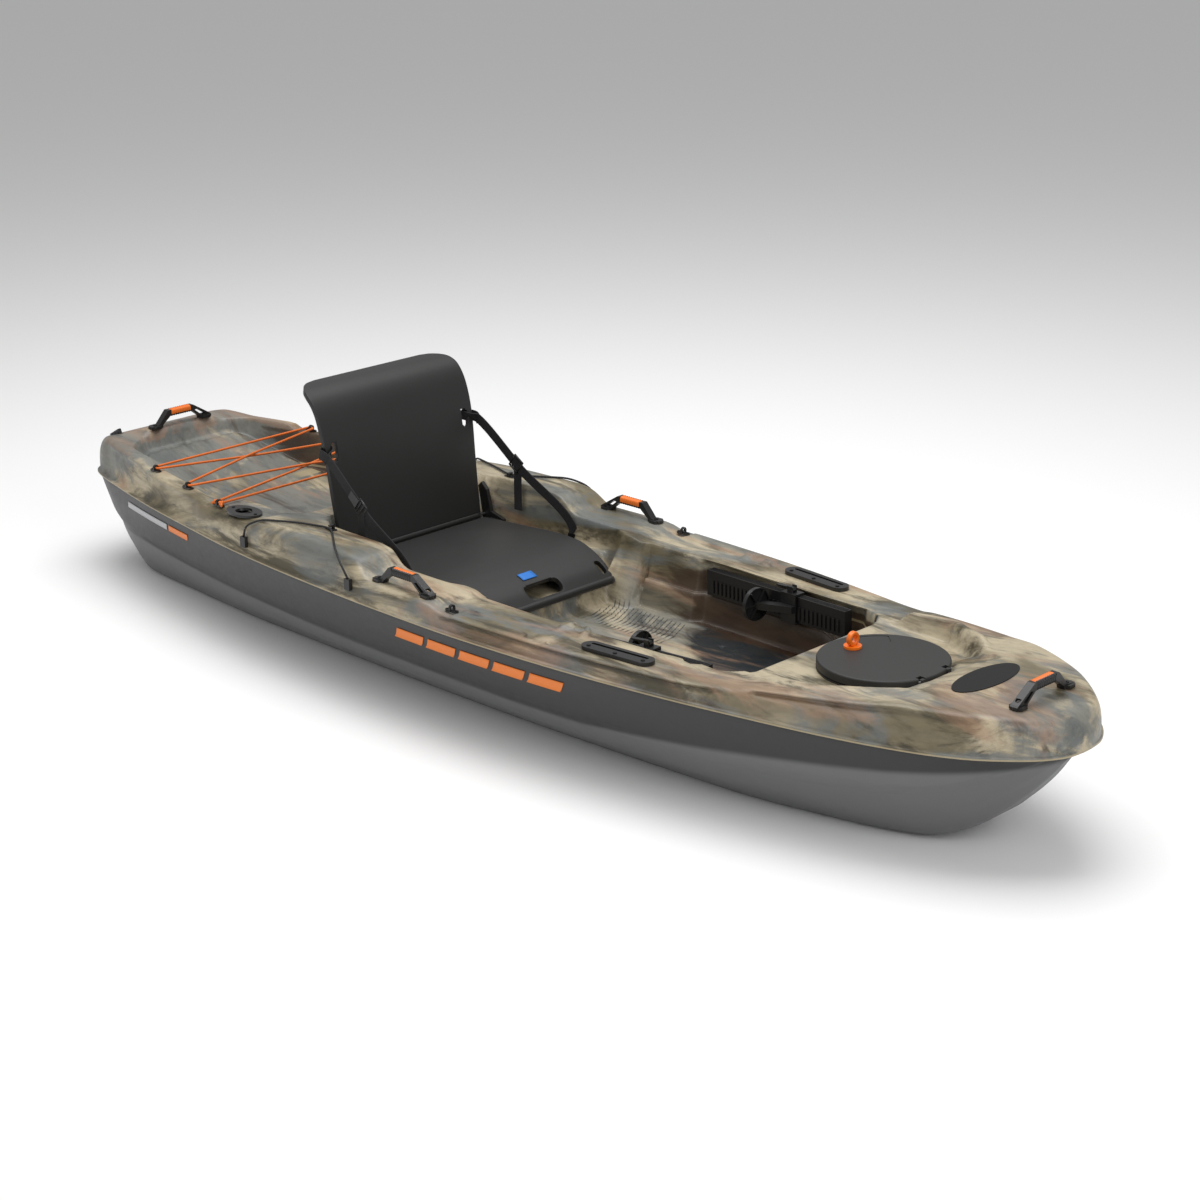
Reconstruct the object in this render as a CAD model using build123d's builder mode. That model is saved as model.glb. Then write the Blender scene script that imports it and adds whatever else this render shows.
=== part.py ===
from build123d import *
import math
import os

# Sit-on-top fishing kayak, millimetres. +X points to the bow, +Y to port, +Z up.
# The origin is under the middle of the boat, on the ground its flat bottom stands on.
os.makedirs("parts", exist_ok=True)

# ---------------------------------------------------------------- driving dimensions
SEAM_Z = 250            # height of the welded flange where deck sheet meets hull sheet
SHEET = 4               # thickness of both thermoformed sheets
FLANGE = 16             # width of the deck's inward seam flange
FLANGE_LIP_T = 6        # thickness of the lip over the seam
LIP = 10                # how far the deck stands out past the hull at the seam
TANK_FLOOR, SEAT_FLOOR, FOOT_FLOOR = 203, 195, 145
SHELL_RISE = 150        # more than the deck rises above its seam
HULL_ROOM = 120         # lower than any well's floor
CLEAR = 400             # longer than any cut made through the boat from above
HALF_WIDE = 500         # more than the half-breadth, for prisms across the whole boat
RUN = 0.3               # gap between pieces of different bodies
PIN_RUN = 0.05          # radial clearance of a pin in its bore

# Half-breadth of the deck at its seam, and height of its top along the boat.
BREADTH = [(-1500, 150), (-1485, 185), (-1455, 206), (-1100, 297), (-700, 367), (-300, 402), (100, 415),
           (500, 392), (900, 333), (1250, 251), (1430, 131), (1462, 106), (1485, 76), (1500, 36)]
TOP = [(-1500, 262), (-1485, 295), (-1455, 327), (-1392, 362), (-1322, 362), (-1300, 344), (-1180, 346),
       (-1148, 331), (-612, 331), (-440, 342), (-180, 336), (-160, 300), (50, 300), (75, 289), (820, 289),
       (900, 304), (1090, 318), (1212, 333), (1360, 330), (1420, 330), (1462, 308), (1485, 282), (1500, 262)]
# Hull stations: x, half-width and height of the flat bottom, half-breadth and height of the chine.
HULL = [(-1486, 90, 150, 120, 190), (-1441, 115, 74, 150, 140), (-1361, 140, 25, 180, 118), (-1290, 155, 0, 205, 112),
        (-750, 200, 0, 297, 112), (0, 210, 0, 342, 112), (750, 185, 0, 295, 112), (1150, 110, 0, 224, 125),
        (1250, 70, 35, 186, 150), (1354, 38, 100, 130, 185), (1421, 18, 165, 78, 215), (1466, 8, 228, 48, 240)]


def along(table, x):
    """Straight-line value of a station table at x."""
    for (x0, v0), (x1, v1) in zip(table, table[1:]):
        if x <= x1:
            return v0 + (v1 - v0) * (x - x0) / (x1 - x0)
    return table[-1][1]


def mirrored(half):
    """Close a half outline, listed from the port side inwards, with its mirror image."""
    return half + [(-y, z) for y, z in reversed(half)]


def station(x):
    """Cross-section plane at x: its first axis is +Y and its second is +Z."""
    return Plane(origin=(x, 0, 0), x_dir=(0, 1, 0), z_dir=(1, 0, 0))


def hull_outer(row):
    """Outer outline of the hull at one station: flat bottom, chine, side up to the seam."""
    x, yb, zb, yc, zc = row
    return mirrored([(along(BREADTH, x) - LIP, SEAM_Z), (yc, zc), (yb, zb)])


def hull_inner(row):
    """The hull's outline one sheet further in, open at the seam."""
    x, yb, zb, yc, zc = row
    rise = SHEET * (1 if zb == 0 else 2)
    side = along(BREADTH, x) - LIP - SHEET
    return mirrored([(side, SEAM_Z + 1), (yc - SHEET - 1, zc + 2), (max(yb - SHEET, 4), zb + rise)])


def thick_line(points, thickness):
    """Closed outline of a bent sheet: a middle line moved half a thickness to each side."""
    left, right = [], []
    for i, (x, z) in enumerate(points):
        x0, z0 = points[max(i - 1, 0)]
        x1, z1 = points[min(i + 1, len(points) - 1)]
        run = math.hypot(x1 - x0, z1 - z0)
        nx, nz = -(z1 - z0) / run * thickness / 2, (x1 - x0) / run * thickness / 2
        left.append((x + nx, z + nz))
        right.append((x - nx, z - nz))
    return left + right[::-1]


def save(part, name):
    """Label a finished piece and write it under its node's name."""
    part.label = name
    export_step(part, f"parts/{name}.step")


SIDES = {"port": 1, "starboard": -1}

# ---------------------------------------------------------------- hull and deck sheets
with BuildPart() as hull_shell:
    for row in HULL:
        with BuildSketch(station(row[0])):
            with BuildLine():
                Polyline(*hull_outer(row), close=True)
            make_face()
    loft(ruled=True)
    for row in HULL[1:-1]:
        with BuildSketch(station(row[0])):
            with BuildLine():
                Polyline(*hull_inner(row), close=True)
            make_face()
    loft(ruled=True, mode=Mode.SUBTRACT)
save(hull_shell.part, "hull_shell")

# Plan outlines of the three wells, port half from aft to fore.
TANK_WELL = [(-1350, 120), (-1310, 172), (-1109, 225), (-950, 264), (-839, 288), (-800, 284), (-770, 245), (-540, 255)]
SEAT_WELL = [(-470, 262), (-430, 272), (-20, 272), (20, 268)]
FOOT_WELL = [(20, 268), (300, 268), (730, 254), (790, 236), (825, 190)]
WELLS = [(SEAT_WELL, SEAT_FLOOR), (FOOT_WELL, FOOT_FLOOR)]
# Floor of the tank well in side view: it climbs towards the stern.
TANK_LINE = [(-1400, 331), (-1300, 300), (-1100, 247), (-850, 212), (-540, TANK_FLOOR), (-500, TANK_FLOOR),
             (-500, CLEAR), (-1400, CLEAR)]
BOW_POCKET = [(818, 235), (890, 225), (1150, 144), (1208, 140)]
HATCH_X, HATCH_SEAT, RECESS_R, HOLE_R = 1003, 288, 147, 112
# Sunken bow deck in side view: flat by the hatch, then a ramp up to the bow.
BOW_LINE = [(800, HATCH_SEAT), (1090, HATCH_SEAT), (1212, 333), (1260, CLEAR), (800, CLEAR)]
ROD_X, ROD_Y, ROD_TOP, ROD_LEAN, TUBE_R = -680, 320, 331, 18, 23
ROD_HOLE_GAP = 0.5      # radial gap round a rod holder's tube where it passes the deck
DRAIN_HOLE_R = 11.2
# The drain plug sits on the sloping stern deck, square to it.
DRAIN = Plane(origin=(-1432, -150, 339.78), z_dir=(-35, 0, 63))


def plan(outline, grow):
    """Full plan outline of a well, grown outwards on every side."""
    first, last = outline[0][0], outline[-1][0]
    half = [(x - grow * (x == first) + grow * (x == last), y + grow) for x, y in outline]
    return half + [(x, -y) for x, y in reversed(half)]


def deck_outline():
    """Plan outline of the deck at its seam."""
    return BREADTH + [(x, -b) for x, b in reversed(BREADTH)]


def rod_plane(side):
    """Plane across a rod holder's tube at deck height, tube axis leaning aft going up."""
    lean = math.radians(ROD_LEAN)
    return Plane(origin=(ROD_X, side * ROD_Y, ROD_TOP), x_dir=(math.cos(lean), 0, math.sin(lean)),
                 z_dir=(-math.sin(lean), 0, math.cos(lean)))


def pocket(outline, side_view, grow):
    """Space of a well whose floor slopes: its plan outline met with its side view, both grown outwards."""
    with BuildPart() as space:
        with BuildSketch(Plane.XY.offset(HULL_ROOM)):
            with BuildLine():
                Polyline(*plan(outline, grow), close=True)
            make_face()
        extrude(amount=CLEAR)
        with BuildSketch(Plane.XZ.offset(-HALF_WIDE)):
            with BuildLine():
                Polyline(*side_view, close=True)
            make_face()
            if grow:
                offset(amount=grow, kind=Kind.INTERSECTION)
        extrude(amount=2 * HALF_WIDE, mode=Mode.INTERSECT)
    return space.part


with BuildPart() as deck_cavity:
    with BuildSketch(Plane.XY.offset(SEAM_Z + SHEET)):
        with BuildLine():
            Polyline(*deck_outline(), close=True)
        make_face()
        offset(amount=-LIP - SHEET, kind=Kind.INTERSECTION)
    extrude(amount=SHELL_RISE)
    with BuildSketch(Plane.XZ.offset(-HALF_WIDE)):
        with BuildLine():
            Polyline(*TOP, (1500, 200), (-1500, 200), close=True)
        make_face()
        offset(amount=-SHEET, kind=Kind.INTERSECTION)
    extrude(amount=2 * HALF_WIDE, mode=Mode.INTERSECT)
    with BuildSketch(Plane.XY.offset(SEAM_Z - 10)):
        with BuildLine():
            Polyline(*deck_outline(), close=True)
        make_face()
        offset(amount=-FLANGE - LIP, kind=Kind.INTERSECTION)
    extrude(amount=10 + SHEET)
    for outline, floor in WELLS:
        with BuildSketch(Plane.XY.offset(floor - SHEET)):
            with BuildLine():
                Polyline(*plan(outline, SHEET), close=True)
            make_face()
        extrude(amount=CLEAR, mode=Mode.SUBTRACT)
    add(pocket(BOW_POCKET, BOW_LINE, SHEET), mode=Mode.SUBTRACT)
    add(pocket(TANK_WELL, TANK_LINE, SHEET), mode=Mode.SUBTRACT)
    with BuildSketch(Plane.XY.offset(HATCH_SEAT - SHEET)):
        with Locations((HATCH_X, 0)):
            Circle(RECESS_R + SHEET)
    extrude(amount=CLEAR, mode=Mode.SUBTRACT)

# The part of the tank well's tub that hangs below the deck's own outline.
with BuildPart() as tank_tub:
    add(pocket(TANK_WELL, TANK_LINE, SHEET))
    with BuildSketch(Plane.XY.offset(HULL_ROOM)):
        Rectangle(4 * HALF_WIDE * 2, 2 * HALF_WIDE)
    extrude(amount=SEAM_Z + 20 - HULL_ROOM, mode=Mode.INTERSECT)

with BuildPart() as deck_shell:
    with BuildSketch(Plane.XY.offset(SEAM_Z)):
        with BuildLine():
            Polyline(*deck_outline(), close=True)
        make_face()
    extrude(amount=FLANGE_LIP_T)
    with BuildSketch(Plane.XY.offset(SEAM_Z)):
        with BuildLine():
            Polyline(*deck_outline(), close=True)
        make_face()
        offset(amount=-LIP, kind=Kind.INTERSECTION)
    extrude(amount=SHELL_RISE)
    with BuildSketch(Plane.XZ.offset(-HALF_WIDE)):
        with BuildLine():
            Polyline(*TOP, (1500, 200), (-1500, 200), close=True)
        make_face()
    extrude(amount=2 * HALF_WIDE, mode=Mode.INTERSECT)
    for outline, floor in WELLS:
        with BuildSketch(Plane.XY.offset(floor - SHEET)):
            with BuildLine():
                Polyline(*plan(outline, SHEET), close=True)
            make_face()
        extrude(amount=SEAM_Z + 20 - floor)
    add(tank_tub.part)
    add(deck_cavity.part, mode=Mode.SUBTRACT)
    for outline, floor in WELLS:
        with BuildSketch(Plane.XY.offset(floor)):
            with BuildLine():
                Polyline(*plan(outline, 0), close=True)
            make_face()
        extrude(amount=CLEAR, mode=Mode.SUBTRACT)
    add(pocket(BOW_POCKET, BOW_LINE, 0), mode=Mode.SUBTRACT)
    add(pocket(TANK_WELL, TANK_LINE, 0), mode=Mode.SUBTRACT)
    with BuildSketch(Plane.XY.offset(HATCH_SEAT)):
        with Locations((HATCH_X, 0)):
            Circle(RECESS_R)
    extrude(amount=CLEAR, mode=Mode.SUBTRACT)
    with BuildSketch(Plane.XY.offset(HATCH_SEAT - 20)):
        with Locations((HATCH_X, 0)):
            Circle(HOLE_R + RUN)
    extrude(amount=40, mode=Mode.SUBTRACT)
    for side in SIDES.values():
        with BuildSketch(rod_plane(side).offset(-60)):
            Circle(TUBE_R + ROD_HOLE_GAP)
        extrude(amount=120, mode=Mode.SUBTRACT)
    with BuildSketch(DRAIN.offset(-20)):
        Circle(DRAIN_HOLE_R)
    extrude(amount=40, mode=Mode.SUBTRACT)
save(deck_shell.part, "deck_shell")

# Foam blocks between the sheets carry the floors and keep the boat afloat.
FOAM = [((-850, -600), 40, TANK_FLOOR), ((-380, -80), 40, SEAT_FLOOR), ((250, 600), 40, FOOT_FLOOR)]
with BuildPart() as foam_blocks:
    for (x0, x1), half, floor in FOAM:
        top = floor - SHEET
        with BuildSketch(Plane.XY.offset(SHEET)):
            with Locations(((x0 + x1) / 2, 0)):
                Rectangle(x1 - x0, 2 * half)
        extrude(amount=top - SHEET)
save(foam_blocks.part, "foam_blocks")

# ---------------------------------------------------------------- hatch
LID_R, LID_TOP, LID_UNDER, SKIRT_R = 138, 312, 298.4, 132
RIM_TOP, COLLAR_R, COLLAR_LOW, COLLAR_TALL = 292, 108, 276, 21.5
RIM_SCREW_R, RIM_SCREWS = 127, 6    # bolt circle and number of the rim's screws
GASKET_R, GASKET_W = 113, 8
HINGE_X, HINGE_Z, HINGE_Y, NOTCH, POST, HINGE_PIN_R = 1134, 306, 42, 15, 11, 2.5
KNOB_X, STUD_R, KNOB_BASE_R, KNOB_BASE_T = 922, 5, 19, 5
LOOP_R, LOOP_HOLE, LOOP_T = 16, 8, 12    # upright finger loop of the knob
CAM_LOW, CAM_T, CAM_REACH = 269, 6, 34
GROOVE_R, GROOVE_W, GROOVE_DEEP = 124, 3, 1.5    # finger groove in the lid's top

with BuildPart() as hatch_rim:
    with BuildSketch(Plane.XY.offset(HATCH_SEAT)):
        with Locations((HATCH_X, 0)):
            Circle(LID_R)
            Circle(COLLAR_R, mode=Mode.SUBTRACT)
    extrude(amount=RIM_TOP - HATCH_SEAT)
    with BuildSketch(Plane.XY.offset(COLLAR_LOW)):
        with Locations((HATCH_X, 0)):
            Circle(HOLE_R)
            Circle(COLLAR_R, mode=Mode.SUBTRACT)
    extrude(amount=COLLAR_TALL)
    for y in (-HINGE_Y, HINGE_Y):
        with BuildSketch(Plane.XZ.offset(-y - POST / 2)):
            with BuildLine():
                Polyline((HINGE_X - 9, HATCH_SEAT + 1), (HINGE_X - 4, HINGE_Z + 4), (HINGE_X + 4, HINGE_Z + 4),
                         (HINGE_X + 5, HATCH_SEAT + 1), close=True)
            make_face()
            with Locations((HINGE_X, HINGE_Z)):
                Circle(HINGE_PIN_R + PIN_RUN, mode=Mode.SUBTRACT)
        extrude(amount=POST)
    with Locations((HATCH_X, 0, RIM_TOP)):
        with PolarLocations(RIM_SCREW_R, RIM_SCREWS, start_angle=0):
            Hole(2.2, depth=8)
save(hatch_rim.part, "hatch_rim")

with BuildPart() as hatch_gasket:
    with BuildSketch(Plane.XY.offset(RIM_TOP)):
        with Locations((HATCH_X, 0)):
            Circle(GASKET_R + GASKET_W)
            Circle(GASKET_R, mode=Mode.SUBTRACT)
    extrude(amount=LID_UNDER - RUN - RIM_TOP)
save(hatch_gasket.part, "hatch_gasket")

with BuildPart() as hatch_rim_screws:
    with Locations((HATCH_X, 0, RIM_TOP)):
        with PolarLocations(RIM_SCREW_R, RIM_SCREWS, start_angle=0):
            Cylinder(2, 10, align=(Align.CENTER, Align.CENTER, Align.MAX))
            Cylinder(3.6, 1.6, align=(Align.CENTER, Align.CENTER, Align.MIN))
save(hatch_rim_screws.part, "hatch_rim_screws")

with BuildPart() as hatch_lid:
    with BuildSketch(Plane.XY.offset(LID_UNDER)):
        with Locations((HATCH_X, 0)):
            Circle(LID_R)
    extrude(amount=LID_TOP - LID_UNDER)
    fillet(hatch_lid.edges().sort_by(Axis.Z)[-1], radius=4)
    with BuildSketch(Plane.XY.offset(RIM_TOP + 2.4)):
        with Locations((HATCH_X, 0)):
            Circle(LID_R)
            Circle(SKIRT_R, mode=Mode.SUBTRACT)
    extrude(amount=LID_UNDER - RIM_TOP - 2.4)
    with Locations((HINGE_X + 6, 0, RIM_TOP)):
        Box(24, 200, 10, align=(Align.CENTER, Align.CENTER, Align.MIN), mode=Mode.SUBTRACT)
    for y in (-HINGE_Y, HINGE_Y):
        with Locations((HINGE_X + 10, y, 280)):
            Box(44, NOTCH, 60, align=(Align.CENTER, Align.CENTER, Align.MIN), mode=Mode.SUBTRACT)
        with BuildSketch(Plane.XZ.offset(-y - 13)):
            with Locations((HINGE_X, HINGE_Z)):
                Circle(HINGE_PIN_R)
        extrude(amount=26, mode=Mode.SUBTRACT)
    with BuildSketch(Plane.XY.offset(280)):
        with Locations((KNOB_X, 0)):
            Circle(STUD_R + PIN_RUN)
    extrude(amount=60, mode=Mode.SUBTRACT)
    with BuildSketch(Plane.XY.offset(LID_TOP - GROOVE_DEEP)):
        with BuildLine():
            groove = CenterArc(center=(HATCH_X, 0), radius=GROOVE_R, start_angle=152, arc_size=-28)
            Line(groove @ 1, (HATCH_X - 45, 80))
        trace(line_width=GROOVE_W)
    extrude(amount=2 * GROOVE_DEEP, mode=Mode.SUBTRACT)
save(hatch_lid.part, "hatch_lid")

with BuildPart() as hatch_hinge_pins:
    for y in (-HINGE_Y, HINGE_Y):
        with BuildSketch(Plane.XZ.offset(-y - 13)):
            with Locations((HINGE_X, HINGE_Z)):
                Circle(HINGE_PIN_R)
        extrude(amount=26)
save(hatch_hinge_pins.part, "hatch_hinge_pins")

KNOB_Z = LID_TOP + RUN
with BuildPart() as finger_loop:
    with BuildSketch(Plane.YZ.offset(KNOB_X - LOOP_T / 2)):
        with Locations((0, KNOB_Z + KNOB_BASE_T + LOOP_R - 2)):
            Circle(LOOP_R)
            Circle(LOOP_HOLE, mode=Mode.SUBTRACT)
    extrude(amount=LOOP_T)
    fillet(finger_loop.edges().filter_by(GeomType.CIRCLE), radius=3)

with BuildPart() as hatch_knob:
    with BuildSketch(Plane.XY.offset(KNOB_Z)):
        with Locations((KNOB_X, 0)):
            Circle(KNOB_BASE_R)
    extrude(amount=KNOB_BASE_T)
    add(finger_loop.part)
    with BuildSketch(Plane.XY.offset(CAM_LOW + CAM_T + 1)):
        with Locations((KNOB_X, 0)):
            Circle(STUD_R)
    extrude(amount=KNOB_Z - CAM_LOW - CAM_T)
save(hatch_knob.part, "hatch_knob")

with BuildPart() as hatch_cam:
    with BuildSketch(Plane.XY.offset(CAM_LOW)):
        with Locations((KNOB_X, 0)):
            Circle(9)
        with Locations((KNOB_X, CAM_REACH / 2)):
            Rectangle(12, CAM_REACH)
    extrude(amount=CAM_T)
    with BuildSketch(Plane.XY.offset(CAM_LOW + CAM_T)):
        with Locations((KNOB_X, 0)):
            Circle(7)
    extrude(amount=1)
save(hatch_cam.part, "hatch_cam")

# ---------------------------------------------------------------- carry handles
# One moulding used four times: its windowed leg points along the plane's first axis.
HANDLES = {"bow": Plane(origin=(1391, 0, 330), x_dir=(0, -1, 0), z_dir=(0, 0, 1)),
           "stern": Plane(origin=(-1357, 0, 362), x_dir=(0, 1, 0), z_dir=(0, 0, 1)),
           "starboard": Plane(origin=(-55, -367, 300), x_dir=(1, 0, 0), z_dir=(0, 0, 1)),
           "port": Plane(origin=(-55, 367, 300), x_dir=(-1, 0, 0), z_dir=(0, 0, 1))}
FOOT_AT, FOOT_R, FOOT_T, BAR_W = 80, 18, 7, 18
SCREW_R, HEAD_R, HEAD_WELL_R = 2.6, 5.5, 6.2
GRIP_Z, GRIP_L, GRIP_CORE = 34, 64, 12
HANDLE_SIDE = [(-96, 0), (-96, 7), (-72, 9), (-42, 42), (40, 42), (92, 10), (96, 7), (96, 0), (62, 0), (60, 7),
               (36, 26), (-36, 26), (-60, 7), (-62, 0)]
WINDOW = [(66, 9), (82, 9), (52, 29), (44, 27)]

for name, base in HANDLES.items():
    upright = Plane(origin=base.origin, x_dir=base.x_dir, z_dir=-base.y_dir)
    with BuildPart() as handle:
        with BuildSketch(upright):
            with BuildLine():
                Polyline(*HANDLE_SIDE, close=True)
            make_face()
            with BuildLine():
                Polyline(*WINDOW, close=True)
            make_face(mode=Mode.SUBTRACT)
        extrude(amount=BAR_W / 2, both=True)
        with BuildSketch(base):
            with Locations((-FOOT_AT, 0), (FOOT_AT, 0)):
                RegularPolygon(FOOT_R, 6)
        extrude(amount=FOOT_T)
        for u in (-FOOT_AT, FOOT_AT):
            with BuildSketch(base):
                with Locations((u, 0)):
                    Circle(3)
            extrude(amount=60, mode=Mode.SUBTRACT)
            with BuildSketch(base.offset(FOOT_T)):
                with Locations((u, 0)):
                    Circle(HEAD_WELL_R)
            extrude(amount=12, mode=Mode.SUBTRACT)
        with BuildSketch(upright):
            with Locations((0, GRIP_Z)):
                Rectangle(GRIP_L, BAR_W - 1)
        extrude(amount=BAR_W / 2 + 1, both=True, mode=Mode.SUBTRACT)
        with BuildSketch(upright):
            with Locations((0, GRIP_Z)):
                Rectangle(GRIP_L, GRIP_CORE)
        extrude(amount=GRIP_CORE / 2, both=True)
    save(handle.part, f"handle_{name}")

    with BuildPart() as grip:
        across = Plane(origin=base.origin + base.z_dir * GRIP_Z, x_dir=base.y_dir, z_dir=base.x_dir)
        with BuildSketch(across.offset(-GRIP_L / 2)):
            RectangleRounded(21, 19, 6)
            Rectangle(GRIP_CORE, GRIP_CORE, mode=Mode.SUBTRACT)
        extrude(amount=GRIP_L)
    save(grip.part, f"grip_{name}")

with BuildPart() as handle_screws:
    for base in HANDLES.values():
        for u in (-FOOT_AT, FOOT_AT):
            with BuildSketch(base):
                with Locations((u, 0)):
                    Circle(SCREW_R)
            extrude(amount=FOOT_T)
            with BuildSketch(base.offset(FOOT_T)):
                with Locations((u, 0)):
                    Circle(HEAD_R)
                    RegularPolygon(2.4, 6, mode=Mode.SUBTRACT)
            extrude(amount=2.5)
save(handle_screws.part, "handle_screws")

# ---------------------------------------------------------------- gear tracks
TRACK_L, TRACK_W, TRACK_H = 184, 42, 9
SLOT_L, SLOT_W, SLOT_Y, LIPPED_W, LIPPED_H = 150, 8, 7, 15, 3.5
TRACKS = {side: Plane(origin=(560, s * 322, 289), x_dir=(169, -s * 15, 0), z_dir=(0, 0, 1))
          for side, s in SIDES.items()}
TRACK_SCREWS = [(-72, -8), (0, -10), (72, -8)]
for side, base in TRACKS.items():
    with BuildPart() as track:
        with BuildSketch(base):
            SlotOverall(TRACK_L, TRACK_W)
        extrude(amount=TRACK_H)
        with BuildSketch(base.offset(2)):
            with Locations((0, SLOT_Y)):
                Rectangle(SLOT_L, LIPPED_W)
        extrude(amount=LIPPED_H, mode=Mode.SUBTRACT)
        with BuildSketch(base.offset(2)):
            with Locations((0, SLOT_Y)):
                SlotOverall(SLOT_L, SLOT_W)
        extrude(amount=TRACK_H, mode=Mode.SUBTRACT)
        with BuildSketch(base):
            with Locations(*TRACK_SCREWS):
                Circle(2.7)
        extrude(amount=TRACK_H, mode=Mode.SUBTRACT)
    save(track.part, f"gear_track_{side}")

with BuildPart() as gear_track_screws:
    for base in TRACKS.values():
        with BuildSketch(base):
            with Locations(*TRACK_SCREWS):
                Circle(2.5)
        extrude(amount=TRACK_H)
        with BuildSketch(base.offset(TRACK_H)):
            with Locations(*TRACK_SCREWS):
                Circle(4.5)
        extrude(amount=1.6)
save(gear_track_screws.part, "gear_track_screws")

# ---------------------------------------------------------------- foot rails and pedals
RAIL_L, RAIL_T, RAIL_H = 430, 22, 60
RAILS = {side: Plane(origin=(515, s * 241, 250), x_dir=(430, -s * 30, 10), z_dir=(-10, 0, 430))
         for side, s in SIDES.items()}
TOOTH_PITCH, TOOTH_H, TEETH = 13, 3, 31
RIB_T = 1.2             # height of the three ribs along a rail's top
PEDAL_AT, CARRIAGE_AT, CARRIAGE_L, CARRIAGE_T = -20, 50, 44, 5
PAD_R, PAD_AT_Y, PAD_T = 38, 54, 5
ARM = [(-16, 63), (-16, 45), (30, 17), (70, 17), (70, 28)]
LEVER = [(-44, 43), (-44, 46), (-6, 48), (6, 48), (8, 42), (-6, 42)]


def beside(base, y, thickness):
    """Upright plane along a rail: first axis forward, second up; its extrusion is centred on y."""
    return Plane(origin=base.from_local_coords((0, y + thickness / 2, 0)), x_dir=base.x_dir, z_dir=-base.y_dir)


for side, base in RAILS.items():
    inward = -SIDES[side]
    face = inward * RAIL_T / 2
    with BuildPart() as foot_rail:
        with BuildSketch(base.offset(-RAIL_H / 2)):
            Rectangle(RAIL_L, RAIL_T)
        extrude(amount=RAIL_H)
        for z in (-12, 12):
            with BuildSketch(base.offset(z - 9)):
                with Locations((0, -inward * 5)):
                    Rectangle(RAIL_L - 16, RAIL_T)
            extrude(amount=18, mode=Mode.SUBTRACT)
        with BuildSketch(base.offset(-RAIL_H / 2 + 8)):
            with Locations((0, face + inward * TOOTH_H / 2)):
                with GridLocations(TOOTH_PITCH, 1, TEETH, 1):
                    Rectangle(TOOTH_PITCH / 2, TOOTH_H)
        extrude(amount=RAIL_H / 2)
        with BuildSketch(base.offset(RAIL_H / 2)):
            for lane in (-5, 0, 5):
                with Locations((0, lane)):
                    Rectangle(RAIL_L - 6, 2)
        extrude(amount=RIB_T)
    save(foot_rail.part, f"foot_rail_{side}")

    with BuildPart() as pedal:
        # Carriage wrapped round the rail's inner face, with a lip over its top and under its bottom.
        reach = RAIL_T + TOOTH_H + 6
        with BuildSketch(base.offset(-RAIL_H / 2 - 4)):
            with Locations((CARRIAGE_AT, inward * (RAIL_T / 2 + TOOTH_H + CARRIAGE_T - reach / 2))):
                Rectangle(CARRIAGE_L, reach)
        extrude(amount=RAIL_H + 10)
        with BuildSketch(base.offset(-RAIL_H / 2 - RUN)):
            with Locations((CARRIAGE_AT, inward * (RAIL_T / 2 + TOOTH_H + RUN - 20))):
                Rectangle(CARRIAGE_L + 2, 40)
        extrude(amount=RAIL_H + RIB_T + 2 * RUN, mode=Mode.SUBTRACT)
        # Round pad that the foot presses on, and the arm that carries it.
        pad = Plane(origin=base.from_local_coords((PEDAL_AT, inward * PAD_AT_Y, 4)), x_dir=base.y_dir, z_dir=base.x_dir)
        with BuildSketch(pad):
            Circle(PAD_R)
        extrude(amount=PAD_T)
        with BuildSketch(pad.offset(PAD_T)):
            Circle(PAD_R)
            Circle(PAD_R - 3, mode=Mode.SUBTRACT)
        extrude(amount=PAD_T)
        with BuildSketch(pad.offset(PAD_T)):
            with Locations(Rotation(0, 0, 0), Rotation(0, 0, 55), Rotation(0, 0, 125)):
                Rectangle(2 * PAD_R - 4, 3)
        extrude(amount=8)
        with BuildSketch(base.offset(-6)):
            with BuildLine():
                Polyline(*[(u, inward * v) for u, v in ARM], close=True)
            make_face()
        extrude(amount=16)
        # Two ears for the latch lever's pin, standing on the top lip.
        for ear in (-8, 8):
            with BuildSketch(beside(base, inward * 5 + ear, 3)):
                with Locations((CARRIAGE_AT, 43)):
                    Rectangle(12, 16)
                with Locations((CARRIAGE_AT, 45)):
                    Circle(2 + PIN_RUN, mode=Mode.SUBTRACT)
            extrude(amount=3)
    save(pedal.part, f"pedal_{side}")

    # Sprung latch lever above the arm, rocking on a cross pin between the ears.
    with BuildPart() as pedal_latch:
        with BuildSketch(beside(base, inward * 5, 10)):
            with BuildLine():
                Polyline(*[(CARRIAGE_AT + u, v) for u, v in LEVER], close=True)
            make_face()
        extrude(amount=10)
        with BuildSketch(beside(base, inward * 5, 19)):
            with Locations((CARRIAGE_AT, 45)):
                Circle(2)
        extrude(amount=19)
    save(pedal_latch.part, f"pedal_latch_{side}")

RAIL_SCREWS = [-190, 0, 190]
with BuildPart() as foot_rail_screws:
    for side, base in RAILS.items():
        outward = SIDES[side]
        for u in RAIL_SCREWS:
            across = Plane(origin=base.from_local_coords((u, -outward * 3, 0)), x_dir=base.x_dir,
                           z_dir=base.y_dir * outward)
            with BuildSketch(across):
                Circle(2.5)
            extrude(amount=18)
save(foot_rail_screws.part, "foot_rail_screws")

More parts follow.
